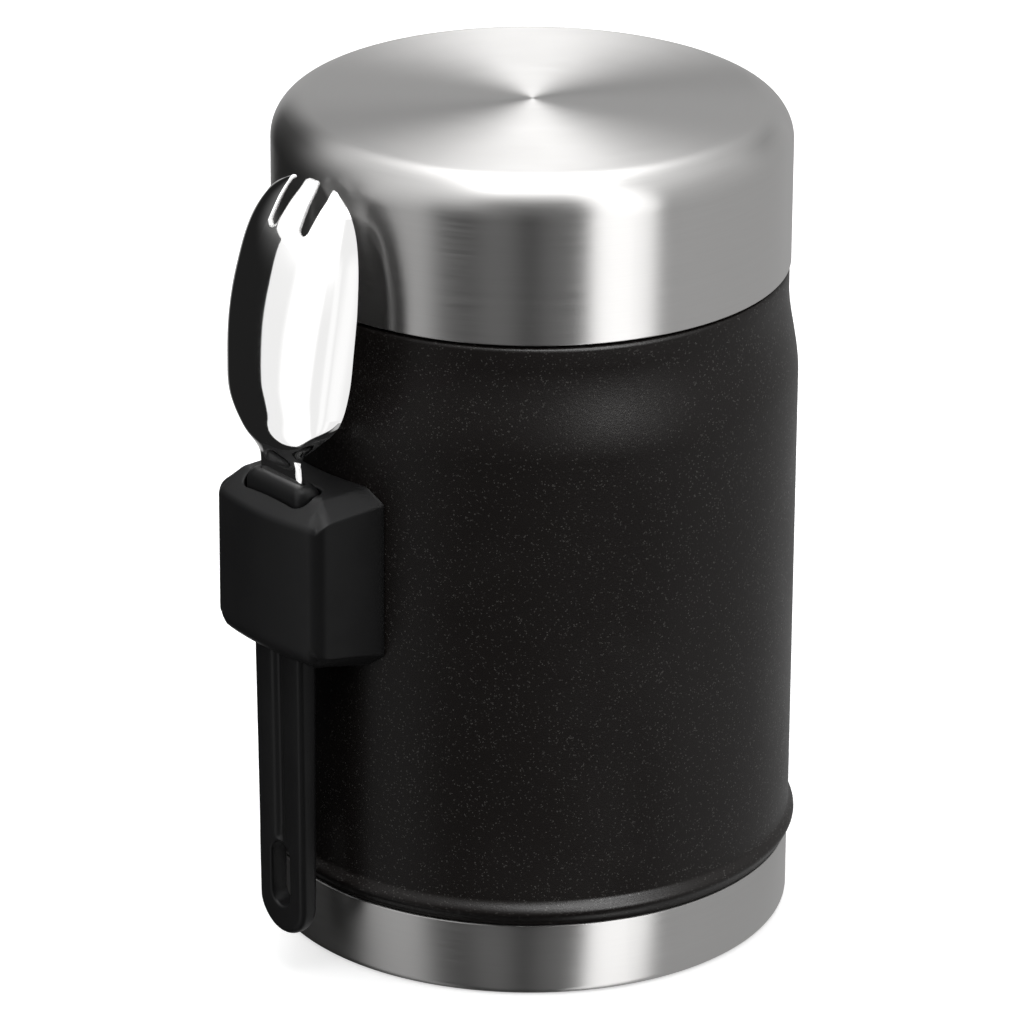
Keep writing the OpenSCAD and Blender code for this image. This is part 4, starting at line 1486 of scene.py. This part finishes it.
@dataclass
class SporkSteel:
    """The steel of the spork: tang, neck and bowl with three tines, drawn with x outwards."""

    thin_sheet: float = 0.3
    rim_from: float = 0.55
    neck_z: float = 92.0
    length: float = 51.1
    bowl_w: float = 31.6
    bowl_depth: float = 7.7
    lean: float = 7.7
    slot_length: float = 6.6
    slot_w: float = 4.2
    slot_end_w: float = 2.2
    slot_off: float = 3.8
    slot_lean: float = 0.4
    tine_round: float = 0.6
    edge: float = 0.3
    slot_fade: float = 1.6
    taper_over: float = 1.0  # how far the slots' taper runs on past the tines
    least_hollow: float = 0.2  # of the bowl's depth, where it is shallow
    least_tip: float = 0.05  # width at which an outer tine ends
    slack: float = 0.01  # for places that lie on a border
    stations: tuple[Station, ...] = (
        Station(0.00, 0.00, 0.02, 0.00), Station(0.05, 0.01, 0.08, 0.00),
        Station(0.10, 0.09, 0.32, 0.01), Station(0.155, 0.40, 0.62, 0.09),
        Station(0.24, 0.81, 0.82, 0.22), Station(0.355, 0.95, 1.00, 0.38),
        Station(0.515, 1.00, 0.99, 0.48), Station(0.66, 0.96, 0.91, 0.62),
        Station(0.82, 0.81, 0.73, 0.79), Station(0.92, 0.55, 0.44, 0.91),
        Station(0.975, 0.17, 0.18, 0.97), Station(1.00, -0.23, 0.09, 1.00),
    )

    @property
    def top_z(self) -> float:
        """Height of the middle tine's end."""
        return self.neck_z + self.length

    @property
    def slot_z(self) -> float:
        """Height at which the round ends of the slots begin."""
        return self.top_z - self.slot_length

    @property
    def slot_half(self) -> float:
        """Half the gap between the skins at the slots' ends."""
        return self.slot_end_w / 2 + self.edge

    @property
    def inner(self) -> float:
        """Half the middle tine's skin width at the slots' ends."""
        return self.slot_off - self.slot_half

    @property
    def outer(self) -> float:
        """Where the outer tines' skins begin at the slots' ends."""
        return self.slot_off + self.slot_half

    def share(self, name: str, up: float) -> float:
        """Reads a share at a height, on a smooth curve through the stations.

        Args:
            name: Which share.
            up: How far up the bowl, from 0 to 1.

        Returns:
            The share.
        """
        found = self.stations
        i = next((k for k in range(len(found) - 1) if up <= found[k + 1].up), len(found) - 2)
        a, b = found[i], found[i + 1]
        before, beyond = found[max(i - 1, 0)], found[min(i + 2, len(found) - 1)]
        span = b.up - a.up
        s = (up - a.up) / span
        value_a, value_b = getattr(a, name), getattr(b, name)
        slope_a = (value_b - getattr(before, name)) / (b.up - before.up) * span
        slope_b = (getattr(beyond, name) - value_a) / (beyond.up - a.up) * span
        return ((2 * s**3 - 3 * s * s + 1) * value_a + (s**3 - 2 * s * s + s) * slope_a
                + (3 * s * s - 2 * s**3) * value_b + (s**3 - s * s) * slope_b)

    def half_width(self, z: float) -> float:
        """Half the width of the steel's skins at a height, inside the rounded edges."""
        if z < self.neck_z:
            return lerp(TANG_W, SPORK_NECK_W, smooth((z - WIDENING_Z) / WIDENING_H)) / 2 - self.edge
        up = min(1.0, (z - self.neck_z) / self.length)
        return (SPORK_NECK_W + (self.bowl_w - SPORK_NECK_W) * self.share("width", up)) / 2 - self.edge

    def slot_at(self, z: float) -> tuple[float, float]:
        """Gives the place and half width of the gap between the skins at a slot's height."""
        up = (z - self.slot_z) / (self.slot_length + self.taper_over)
        middle = self.slot_off - self.slot_lean * up
        return middle, lerp(self.slot_end_w, self.slot_w, up) / 2 + self.edge

    def skins(self, y: float, z: float, half: float) -> tuple[Point3, Point3]:
        """Gives the back and the inside of the steel at a place on it.

        Args:
            y: The place across the steel.
            z: The place's height.
            half: Half the skins' width there.

        Returns:
            The point on the bowl's back and the one inside it.
        """
        up = min(1.0, max(0.0, (z - self.neck_z) / self.length))
        depth = self.bowl_depth * self.share("depth", up)
        rim = SPORK_R + SPORK_SHEET / 2 - self.lean * self.share("lean", up)
        inner_depth = max(depth - SPORK_SHEET, self.least_hollow * depth)
        drop = SPORK_SHEET - (depth - inner_depth)
        border = lerp(SPORK_SHEET, self.thin_sheet, drop / SPORK_SHEET)
        near_rim = smooth((abs(y) / half - self.rim_from) / (1 - self.rim_from))
        inner_y = y * (1 - border / half * near_rim)
        out = math.sqrt(max(0.0, 1 - (y / half) ** 2))
        inside = math.sqrt(max(0.0, 1 - min(1.0, abs(inner_y) / (half - border)) ** 2))
        return (rim + depth * out, y, z), (rim - drop + inner_depth * inside, inner_y, z)

    def columns(self) -> list[float]:
        """Places across the steel, from edge to edge, at the height of the slots' ends."""
        wide = self.half_width(self.slot_z)
        outer_tine = [lerp(wide, self.outer, math.sin(t * math.pi / 2) ** 0.9) for t in steps(0, 1, 12)]
        slot = [self.slot_off + self.slot_half * math.cos(a) for a in steps(0, math.pi, 10)][1:]
        right = outer_tine + slot + steps(self.inner, 0, 6)[1:]
        return right + [-y for y in reversed(right[:-1])]

    def low_row(self, z: float, columns: Sequence[float]) -> list[Point3]:
        """Lays a row below the slots.

        Args:
            z: The row's height.
            columns: The places across the steel.

        Returns:
            Each point's place across, its height and half the width there.
        """
        half = self.half_width(z)
        wide = self.half_width(self.slot_z)
        row: list[Point3] = []
        for y in columns:
            off = abs(y) - self.slot_off
            bulge = math.sqrt(max(0.0, self.slot_half**2 - off**2))
            row.append((y / wide * half, z - bulge * math.exp((z - self.slot_z) / self.slot_fade), half))
        return row

    def tine_row(self, share: float, columns: Sequence[float], tip_z: float) -> list[Point3]:
        """Lays a row across the tines.

        Args:
            share: How far up the tines it lies.
            columns: The places across the steel.
            tip_z: Height of the outer tines' points.

        Returns:
            Each point's place across, its height and half the width there.
        """
        wide = self.half_width(self.slot_z)
        top_z = self.top_z - self.edge
        corner = self.tine_round - self.edge
        outer_z, middle_z = lerp(self.slot_z, tip_z, share), lerp(self.slot_z, top_z, share)
        rounding = max(0.0, middle_z - top_z + corner)
        shrink = corner - math.sqrt(max(0.0, corner**2 - rounding**2))
        row: list[Point3] = []
        for y in columns:
            side = abs(y)
            sign = 1 if y >= 0 else -1
            if side >= self.outer:
                edge = sum(self.slot_at(outer_z))
                half = self.half_width(outer_z)
                across = lerp(edge, max(half, edge), (side - self.outer) / (wide - self.outer))
                row.append((sign * across, outer_z, half))
            else:
                place, opening = self.slot_at(middle_z)
                across = (place - opening - shrink) * min(1.0, side / self.inner)
                row.append((sign * across, middle_z, self.half_width(middle_z)))
        return row

    def build(self, shop: Workshop) -> None:
        """Builds and dresses the steel."""
        columns = self.columns()
        size = len(columns)
        heights = steps(TANG_Z + self.edge, self.neck_z, 22)[:-1]
        heights += steps(self.neck_z, self.slot_z, 70)
        grid = [self.low_row(z, columns) for z in heights]
        last_low = len(grid) - 1
        tip_z = self.tine_tip()
        shares = [*steps(0, 0.92, 20)[1:], 0.94, 0.96, 0.975, 0.99, 1.0]
        grid += [self.tine_row(share, columns, tip_z) for share in shares]
        slack = self.slack
        places = [self.skins(y, z, max(half, abs(y) + 2 * slack)) for row in grid for y, z, half in row]
        faces = []
        for i in range(len(grid) - 1):
            for j in range(size - 1):
                pair = (abs(columns[j]), abs(columns[j + 1]))
                if i >= last_low and min(pair) > self.inner - slack and max(pair) < self.outer + slack:
                    continue
                a = i * size + j
                faces.append([a, a + size, a + size + 1, a + 1])
        used = sorted({i for f in faces for i in f})
        number = {old: new for new, old in enumerate(used)}
        front, back = ([holder_side(places[i][skin]) for i in used] for skin in (0, 1))
        faces = [[number[i] for i in f] for f in faces]
        steel = thick_sheet("spork_bowl", front, back, faces, lambda _: self.edge, count=3)
        shop.finishes.dress(steel, "mirror_steel", "cut_steel")
        for face in steel.data.polygons:
            if self.is_cut(face.center / MM):
                face.material_index = 1
        stand_for(steel, "spork_bowl", Body.SPORK)

    def is_cut(self, place: Vector) -> bool:
        """Says whether a place lies on a face that the punch left."""
        if place.z > self.top_z - self.edge:
            return abs(place.y) < self.slot_off
        middle, opening = self.slot_at(max(place.z, self.slot_z))
        below = max(0.0, self.slot_z - place.z)
        return math.hypot(abs(place.y) - middle, below) < opening - self.slack

    def tine_tip(self) -> float:
        """Finds the height at which the bowl's outline meets the slot's outer edge."""
        low, high = self.slot_z, self.top_z
        for _ in range(40):
            z = (low + high) / 2
            middle, opening = self.slot_at(z)
            if self.half_width(z) > middle + opening + self.least_tip:
                low = z
            else:
                high = z
        return low


@dataclass
class SporkHandle:
    """The spork's plastic handle: blade with hanging hole and groove, and a domed collar."""

    width: float = 12.9
    taper: float = 0.9
    thickness: float = 4.5
    end_thickness: float = 3.4
    low_z: float = 7.0
    edge: float = 1.0
    end_edge: float = 1.4
    hole_w: float = 4.8
    hole_low: float = 12.3
    hole_h: float = 12.0
    hole_round: float = 0.45
    groove_w: float = 2.8
    groove_floor: float = 0.08
    groove_depth: float = 0.5
    groove_low: float = 24.9
    groove_high: float = 75.1
    groove_end: float = 0.6  # length over which the groove reaches its depth
    lobe: float = 0.3  # fall of the face from the two crests
    lobe_place: float = 0.55  # of the half width
    lobe_fade: float = 8.0  # height over which that fall sets in
    collar_w: float = 15.8
    collar_t: float = 5.1
    collar_round: float = 2.0
    collar_h: float = 3.7
    collar_dome: float = 2.4
    collar_top_w: float = 12.0
    collar_foot: float = 0.35
    fullest: float = 0.98  # of half the depth, for the corners
    tang_gap: float = 0.02
    tang_space_h: float = 6.0
    columns: tuple[float, ...] = (
        0, 0.02, 0.04, 0.06, 0.08, 0.1, 0.115, 0.14, 0.18, 0.24, 0.32, 0.42, 0.53, 0.64, 0.75,
        0.85, 0.93, 1)
    low_rows: tuple[float, ...] = (0, 0.15, 0.3, 0.5, 0.75, 1.1, 1.6, 2.3, 3.2)
    high_rows: tuple[float, ...] = (-1.5, -1.0, -0.6, -0.3, -0.1, 0.1, 0.5, 2.0, 5.0, 8.0)
    rings: tuple[float, ...] = (0.1, 0.22, 0.38, 0.56, 0.72, 0.84, 0.93, 1.0)

    @property
    def block_z(self) -> float:
        """Height at which the rings round the hanging hole end and the grid begins."""
        return self.groove_low - 0.1

    def half_at(self, z: float) -> float:
        """Half the blade's width at a height, at its outer edge."""
        end_half = (self.width - self.taper) / 2
        end_z = self.low_z + end_half
        return lerp(end_half, self.width / 2, (z - end_z) / (COLLAR_SEAT_Z - end_z))

    def face_height(self, y: float, z: float) -> float:
        """Height of the outer face over the blade's back."""
        groove = 0.0
        if self.groove_low < z < self.groove_high:
            ends = min(z - self.groove_low, self.groove_high - z)
            groove = self.groove_depth * math.sqrt(min(1.0, ends / self.groove_end))
        side = abs(y)
        floor = self.groove_w * self.groove_floor
        depth = groove * (1 - smooth((side - floor) / (self.groove_w / 2 - floor)))
        crest = self.lobe_place * self.half_at(z)
        away = (side - crest) / crest
        fades = smooth((z - self.groove_low) / self.lobe_fade + 0.5)
        up = (z - self.low_z) / (COLLAR_SEAT_Z - self.low_z)
        thickness = lerp(self.end_thickness, self.thickness, min(1.0, up))
        return thickness - self.lobe * min(1.0, away * away) * fades - depth

    def upper_rows(self) -> list[float]:
        """Heights of the grid's rows over the hanging hole, closer together at the groove's ends.

        The low rows are counted from block_z and the high rows from groove_high.
        """
        low = [self.block_z + up for up in self.low_rows]
        high = [self.groove_high + up for up in self.high_rows]
        return low + steps(low[-1], high[0], 24)[1:-1] + high + [COLLAR_SEAT_Z + 0.6]

    def lower_outline(self) -> list[Point3]:
        """Draws the outline under the grid, from its left corner round the end to its right corner.

        Returns:
            Each point's place across, its height and the edge's rounding there.
        """
        end_half = (self.width - self.taper) / 2
        end_z = self.low_z + end_half
        top_half, low_half = self.half_at(self.block_z) - self.edge, end_half - self.edge
        left = [(-lerp(top_half, low_half, t), lerp(self.block_z, end_z, t), self.edge)
                for t in steps(0, 1, 20)][1:]
        end: list[Point3] = []
        for a in steps(0, math.pi, 36)[1:]:
            inset = lerp(self.edge, self.end_edge, smooth(math.sin(a) / 0.8))
            reach = inset - end_half
            end.append((reach * math.cos(a), end_z + reach * math.sin(a), inset))
        return left + end + [(-y, z, inset) for y, z, inset in reversed(left[:-1])]

    def hole_edge(self, y: float, z: float) -> Point2:
        """Gives the place on the hanging hole's rim that is nearest to a place on the blade."""
        radius = self.hole_w / 2 + self.hole_round
        low, high = self.hole_low + self.hole_w / 2, self.hole_low + self.hole_h - self.hole_w / 2
        spine = min(max(z, low), high)
        away = Vector((y, z - spine)).normalized()
        return radius * away.x, spine + radius * away.y

    def blade_mesh(self) -> tuple[list[Point2], list[list[int]], dict[int, float]]:
        """Lays out the blade's face: an open grid above and rings round the hanging hole below.

        Returns:
            The points across and up, the faces, and the rounding at some of the border's points.
        """
        across = [-share for share in reversed(self.columns[1:])] + list(self.columns)
        size = len(across)
        rows = self.upper_rows()
        points = [((self.half_at(z) - self.edge) * share, z) for z in rows for share in across]
        faces: list[list[int]] = []
        for i in range(len(rows) - 1):
            for j in range(size - 1):
                a = i * size + j
                faces.append([a, a + 1, a + size + 1, a + size])
        outline = self.lower_outline()
        first = len(points)
        rounding = {first + i: inset for i, (_, _, inset) in enumerate(outline)}
        previous = [*range(size - 1, -1, -1), *range(first, first + len(outline))]
        points += [(y, z) for y, z, _ in outline]
        loop = [points[i] for i in previous]
        rim = [self.hole_edge(y, z) for y, z in loop]
        for share in self.rings:
            ring = range(len(points), len(points) + len(loop))
            points += [(lerp(a[0], b[0], share), lerp(a[1], b[1], share)) for a, b in zip(loop, rim)]
            for k in range(len(ring)):
                on = (k + 1) % len(ring)
                faces.append([previous[k], previous[on], ring[on], ring[k]])
            previous = ring
        rounding.update({i: self.hole_round for i in previous})
        return points, faces, rounding

    def build(self, shop: Workshop) -> None:
        """Builds and dresses the handle."""
        places, faces, rounding = self.blade_mesh()
        back_r = SPORK_R - self.thickness / 2
        front = [holder_side((back_r + self.face_height(y, z), y, z)) for y, z in places]
        back = [holder_side((back_r, y, z)) for y, z in places]
        blade = thick_sheet(
            "spork_handle", front, back, faces, lambda i: rounding.get(i, self.edge), count=6)
        combine(blade, self.collar(), Cut.JOIN)
        combine(blade, self.tang_space(), Cut.AWAY)
        finish_mesh(blade, crease=32.0)
        shop.finishes.dress(blade, "handle_plastic")
        stand_for(blade, "spork_handle", Body.SPORK)

    def collar(self) -> bpy.types.Object:
        """Makes the collar that rests in the holder."""
        def ring(width: float, depth: float, z: float) -> list[Point3]:
            radius = min(self.collar_round, depth / 2 * self.fullest)
            y, x = width / 2 - radius, depth / 2 - radius
            points = []
            for sx, sy, start in ((1, 1, 0), (-1, 1, 90), (-1, -1, 180), (1, -1, 270)):
                for a in steps(start, start + 90, 10):
                    points.append(holder_side((
                        SPORK_R + sx * x + radius * math.cos(math.radians(a)),
                        sy * y + radius * math.sin(math.radians(a)), z)))
            return points

        foot = self.collar_foot
        top_t = self.collar_t / 2
        dome_z = COLLAR_SEAT_Z + self.collar_h
        rings = []
        for a in steps(0, math.pi / 2, 4):
            cut = 2 * foot * (1 - math.sin(a))
            up = foot * (1 - math.cos(a))
            rings.append(ring(self.collar_w - cut, self.collar_t - cut, COLLAR_SEAT_Z + up))
        for a in steps(0, math.pi / 2, 12):
            share = math.cos(a)
            rings.append(ring(
                lerp(self.collar_top_w, self.collar_w, share), lerp(top_t, self.collar_t, share),
                dome_z + self.collar_dome * math.sin(a)))
        return rings_mesh("collar", rings)

    def tang_space(self) -> bpy.types.Object:
        """Makes the slot that the steel sits in."""
        gap = self.tang_gap
        half_t = SPORK_SHEET / 2 + gap
        sections = (
            (TANG_Z - gap, TANG_W), (WIDENING_Z, TANG_W),
            (WIDENING_Z + WIDENING_H, SPORK_NECK_W), (WIDENING_Z + self.tang_space_h, SPORK_NECK_W))
        rings = []
        for z, width in sections:
            half_w = width / 2 + gap
            rings.append([
                holder_side((SPORK_R + sx * half_t, sy * half_w, z))
                for sx, sy in ((-1, -1), (1, -1), (1, 1), (-1, 1))])
        return rings_mesh("tang_space", rings)


# ---- Hidden pieces -----------------------------------------------------------


class HiddenPieces:
    """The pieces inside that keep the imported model's own shape."""

    FINISHES = {
        "shell_bottom": "bare_steel", "vacuum_seal": "sealing_glass", "getter": "getter_alloy",
        "getter_clip": "bare_steel", "reflector_foil": "copper_foil", "weld_studs": "bare_steel",
        "holder_back": "frame_plastic", "holder_washers": "zinc_steel", "holder_nuts": "zinc_steel",
        "lid_insulation": "lid_foam",
    }

    def build(self, shop: Workshop) -> None:
        """Gives each its material."""
        for node, finish in self.FINISHES.items():
            shop.finishes.dress(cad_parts[node], finish)
            log.info("%s: the packed node, in %s", node, finish)


# ---- Studio ------------------------------------------------------------------


@dataclass(frozen=True)
class Panel:
    """A softbox or screen of the studio, by its place round the jar and its height.

    Azimuths are degrees to the right of the camera; elevations are degrees over the horizon.
    """

    azimuth: float
    half_width: float
    strength: float
    soft: float = 5.0
    low: float = -70.0
    high: float = 20.0
    fade: float = 8.0


@dataclass(frozen=True)
class Disc:
    """A far, round lamp that lights one piece only, by its place, half angle and brightness."""

    name: str
    node: str
    azimuth: float
    elevation: float
    half: float
    glow: float

    def light(self) -> bpy.types.Light:
        """Makes the lamp."""
        data = bpy.data.lights.new(self.name, "SUN")
        half = math.radians(self.half)
        data.angle = 2 * half
        data.energy = self.glow * math.pi * math.sin(half) ** 2
        return data


@dataclass
class Studio:
    """Camera, floor, backdrop and light."""

    place: Point3 = (-0.68809, -0.79155, 0.50206)
    target: Point3 = (-0.002878, 0.002480, 0.071762)
    roll: float = math.radians(0.37)
    lens: float = 230.69
    sensor: float = 36.0
    floor_colour: Colour = (0.8, 0.8, 0.8, 1.0)
    floor_half: float = 6000.0
    floor_glow: float = 0.55
    backdrop_r: float = 5500.0
    backdrop_h: float = 4000.0
    ambient: float = 0.015
    panels: tuple[Panel, ...] = (
        Panel(-60, 16, 0.5),
        Panel(-14, 9, 0.14, 6),
        Panel(12, 8, 0.14, 6),
        Panel(-55, 32, 0.36, 12, 12, 90),
        Panel(108, 48, 0.46, 6),
        Panel(80, 42, 1.0, 14, 28, 100, 30),
        Panel(-75, 48, 0.8, 15, 28, 100, 30),
        Panel(140, 24, 0.5, 9, 25, 65),
        Panel(-138, 18, 0.8, 10, 34, 65),
        Panel(178, 22, 0.44, 8, -70, 30),
    )
    strip_half: float = 0.23
    strip_soft: float = 0.15
    strip_near: float = -0.42
    strip_far: float = 0.77
    strip_ends: float = 0.08
    strip_strength: float = 3.6
    discs: tuple[Disc, ...] = (
        Disc("spork_screen", "spork_bowl", -13, 5, 84, 0.98),
        Disc("tine_screen", "spork_bowl", -85, 48, 36, 0.98),
        Disc("bead_softbox", "outer_shell", 36, 20, 14, 15),
        Disc("shoulder_softbox", "outer_shell", 26, 60, 22, 14),
    )
    softbox_azimuth: float = 41.0
    softbox_away: float = 3.0
    softbox_size: Point2 = (1.6, 16.0)
    softbox_power: float = 5.8

    @property
    def camera_azimuth(self) -> float:
        """The camera's direction round the jar, in radians."""
        return math.atan2(self.place[1], self.place[0])

    def build(self) -> None:
        """Builds the whole studio."""
        self.camera()
        self.floor()
        self.backdrop()
        self.light()
        for disc in self.discs:
            self.hang(disc.light(), disc.azimuth, disc.elevation, 1.0, disc.node)
        self.steel_softbox()

    def camera(self) -> None:
        """Places the camera."""
        data = bpy.data.cameras.new("camera")
        data.lens, data.sensor_width = self.lens, self.sensor
        camera = link_object("camera", data)
        ahead = Vector(self.target) - Vector(self.place)
        turn = ahead.to_track_quat("-Z", "Y").to_matrix().to_4x4()
        camera.matrix_world = Matrix.Translation(self.place) @ turn @ Matrix.Rotation(self.roll, 4, "Z")
        bpy.context.scene.camera = camera

    def floor(self) -> None:
        """Lays the pale floor."""
        half = self.floor_half
        corners = [(-half, -half, 0), (half, -half, 0), (half, half, 0), (-half, half, 0)]
        floor = mesh_object("floor", corners, [[0, 1, 2, 3]])
        paper = new_surface(
            "floor_paper", Base_Color=self.floor_colour, Roughness=0.9, Specular_IOR_Level=0.0,
            Emission_Color=(1, 1, 1, 1), Emission_Strength=self.floor_glow)
        floor.data.materials.append(paper.material)
        floor.visible_glossy = floor.visible_diffuse = False

    def backdrop(self) -> None:
        """Puts a plain white screen all round, which only the camera sees."""
        radius = self.backdrop_r
        circle = [(radius * math.cos(a), radius * math.sin(a)) for a in steps(0, math.tau, 64)[:-1]]
        rings = [[(x, y, z) for x, y in circle] for z in (-10.0, self.backdrop_h)]
        screen = rings_mesh("backdrop", rings)
        paper = new_surface("backdrop_paper")
        glow = paper.graph.add("ShaderNodeEmission", Color=(1, 1, 1, 1), Strength=1.0)
        paper.graph.add("ShaderNodeOutputMaterial", Surface=glow.outputs[0]).is_active_output = True
        screen.data.materials.append(paper.material)
        screen.visible_glossy = screen.visible_diffuse = screen.visible_shadow = False
        screen.visible_transmission = False

    def light(self) -> None:
        """Lights the jar with soft panels all round and a long softbox overhead."""
        world = bpy.data.worlds.new("studio")
        world.use_nodes = True
        bpy.context.scene.world = world
        graph = Graph(world.node_tree)
        where = graph.add("ShaderNodeTexCoord").outputs["Generated"]
        x, y, z = graph.add("ShaderNodeSeparateXYZ", Vector=where).outputs
        azimuth = graph.math("DEGREES", graph.math("ARCTAN2", y, x))
        elevation = graph.math("DEGREES", graph.math("ARCSINE", z))
        parts: list[Value] = [self.ambient]
        for panel in self.panels:
            away = graph.math("SUBTRACT", azimuth, math.degrees(self.camera_azimuth) + panel.azimuth)
            away = graph.math("ABSOLUTE", graph.math("WRAP", away, 180.0, -180.0))
            wide, soft = panel.half_width, panel.soft
            across = graph.ramp(away, wide - soft, wide + soft, 1.0, 0.0)
            up = graph.window(elevation, panel.low, panel.high, panel.fade)
            parts.append(graph.product(across, up, panel.strength))
        ahead = self.camera_azimuth + math.pi
        cos, sin = math.cos(ahead), math.sin(ahead)
        forwards = graph.total(graph.product(x, cos), graph.product(y, sin))
        sideways = graph.math("SUBTRACT", graph.product(x, sin), graph.product(y, cos))
        half, soft = self.strip_half, self.strip_soft
        across = graph.ramp(graph.math("ABSOLUTE", sideways), half - soft, half + soft, 1.0, 0.0)
        along = graph.window(forwards, self.strip_near, self.strip_far, self.strip_ends)
        parts.append(graph.product(across, along, graph.ramp(z, 0.0, 0.1), self.strip_strength))
        glow = graph.add("ShaderNodeBackground", Color=(1, 1, 1, 1), Strength=graph.total(*parts))
        graph.add("ShaderNodeOutputWorld", Surface=glow.outputs[0])

    def hang(
        self, data: bpy.types.Light, azimuth: float, elevation: float, away: float, *nodes: str
    ) -> None:
        """Hangs a lamp that faces the jar and lights only some of its pieces.

        Args:
            data: The lamp.
            azimuth: Degrees to the right of the camera, round the jar.
            elevation: Degrees over the horizon.
            away: Distance from the jar's middle, in metres.
            nodes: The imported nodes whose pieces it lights.
        """
        lamp = link_object(data.name, data)
        around = self.camera_azimuth + math.radians(azimuth)
        up = math.radians(elevation)
        level = math.cos(up)
        towards = Vector((math.cos(around) * level, math.sin(around) * level, math.sin(up)))
        lamp.location = Vector(self.target) + towards * away
        lamp.rotation_euler = towards.to_track_quat("Z", "Y").to_euler()
        lamp.visible_camera = False
        lit = bpy.data.collections.new(data.name)
        for node in nodes:
            lit.objects.link(PIECES[node])
        lamp.light_linking.receiver_collection = lit

    def steel_softbox(self) -> None:
        """Stands a tall softbox that draws the bright stripe down the brushed steel."""
        data = bpy.data.lights.new("steel_softbox", "AREA")
        data.shape = "RECTANGLE"
        data.size, data.size_y = self.softbox_size
        data.energy = self.softbox_power * data.size * data.size_y
        self.hang(data, self.softbox_azimuth, 0.0, self.softbox_away, "lid_shell", "base_cup")


def main() -> None:
    """Builds the jar and the studio round it."""
    logging.basicConfig(level=logging.INFO, format="%(message)s")
    bpy.context.scene.view_settings.view_transform = "Standard"
    shop = Workshop()
    for piece in (Vessel(), Lid(), Holder(), SporkSteel(), SporkHandle(), HiddenPieces()):
        piece.build(shop)
    Studio().build()


if __name__ == "__main__":
    main()
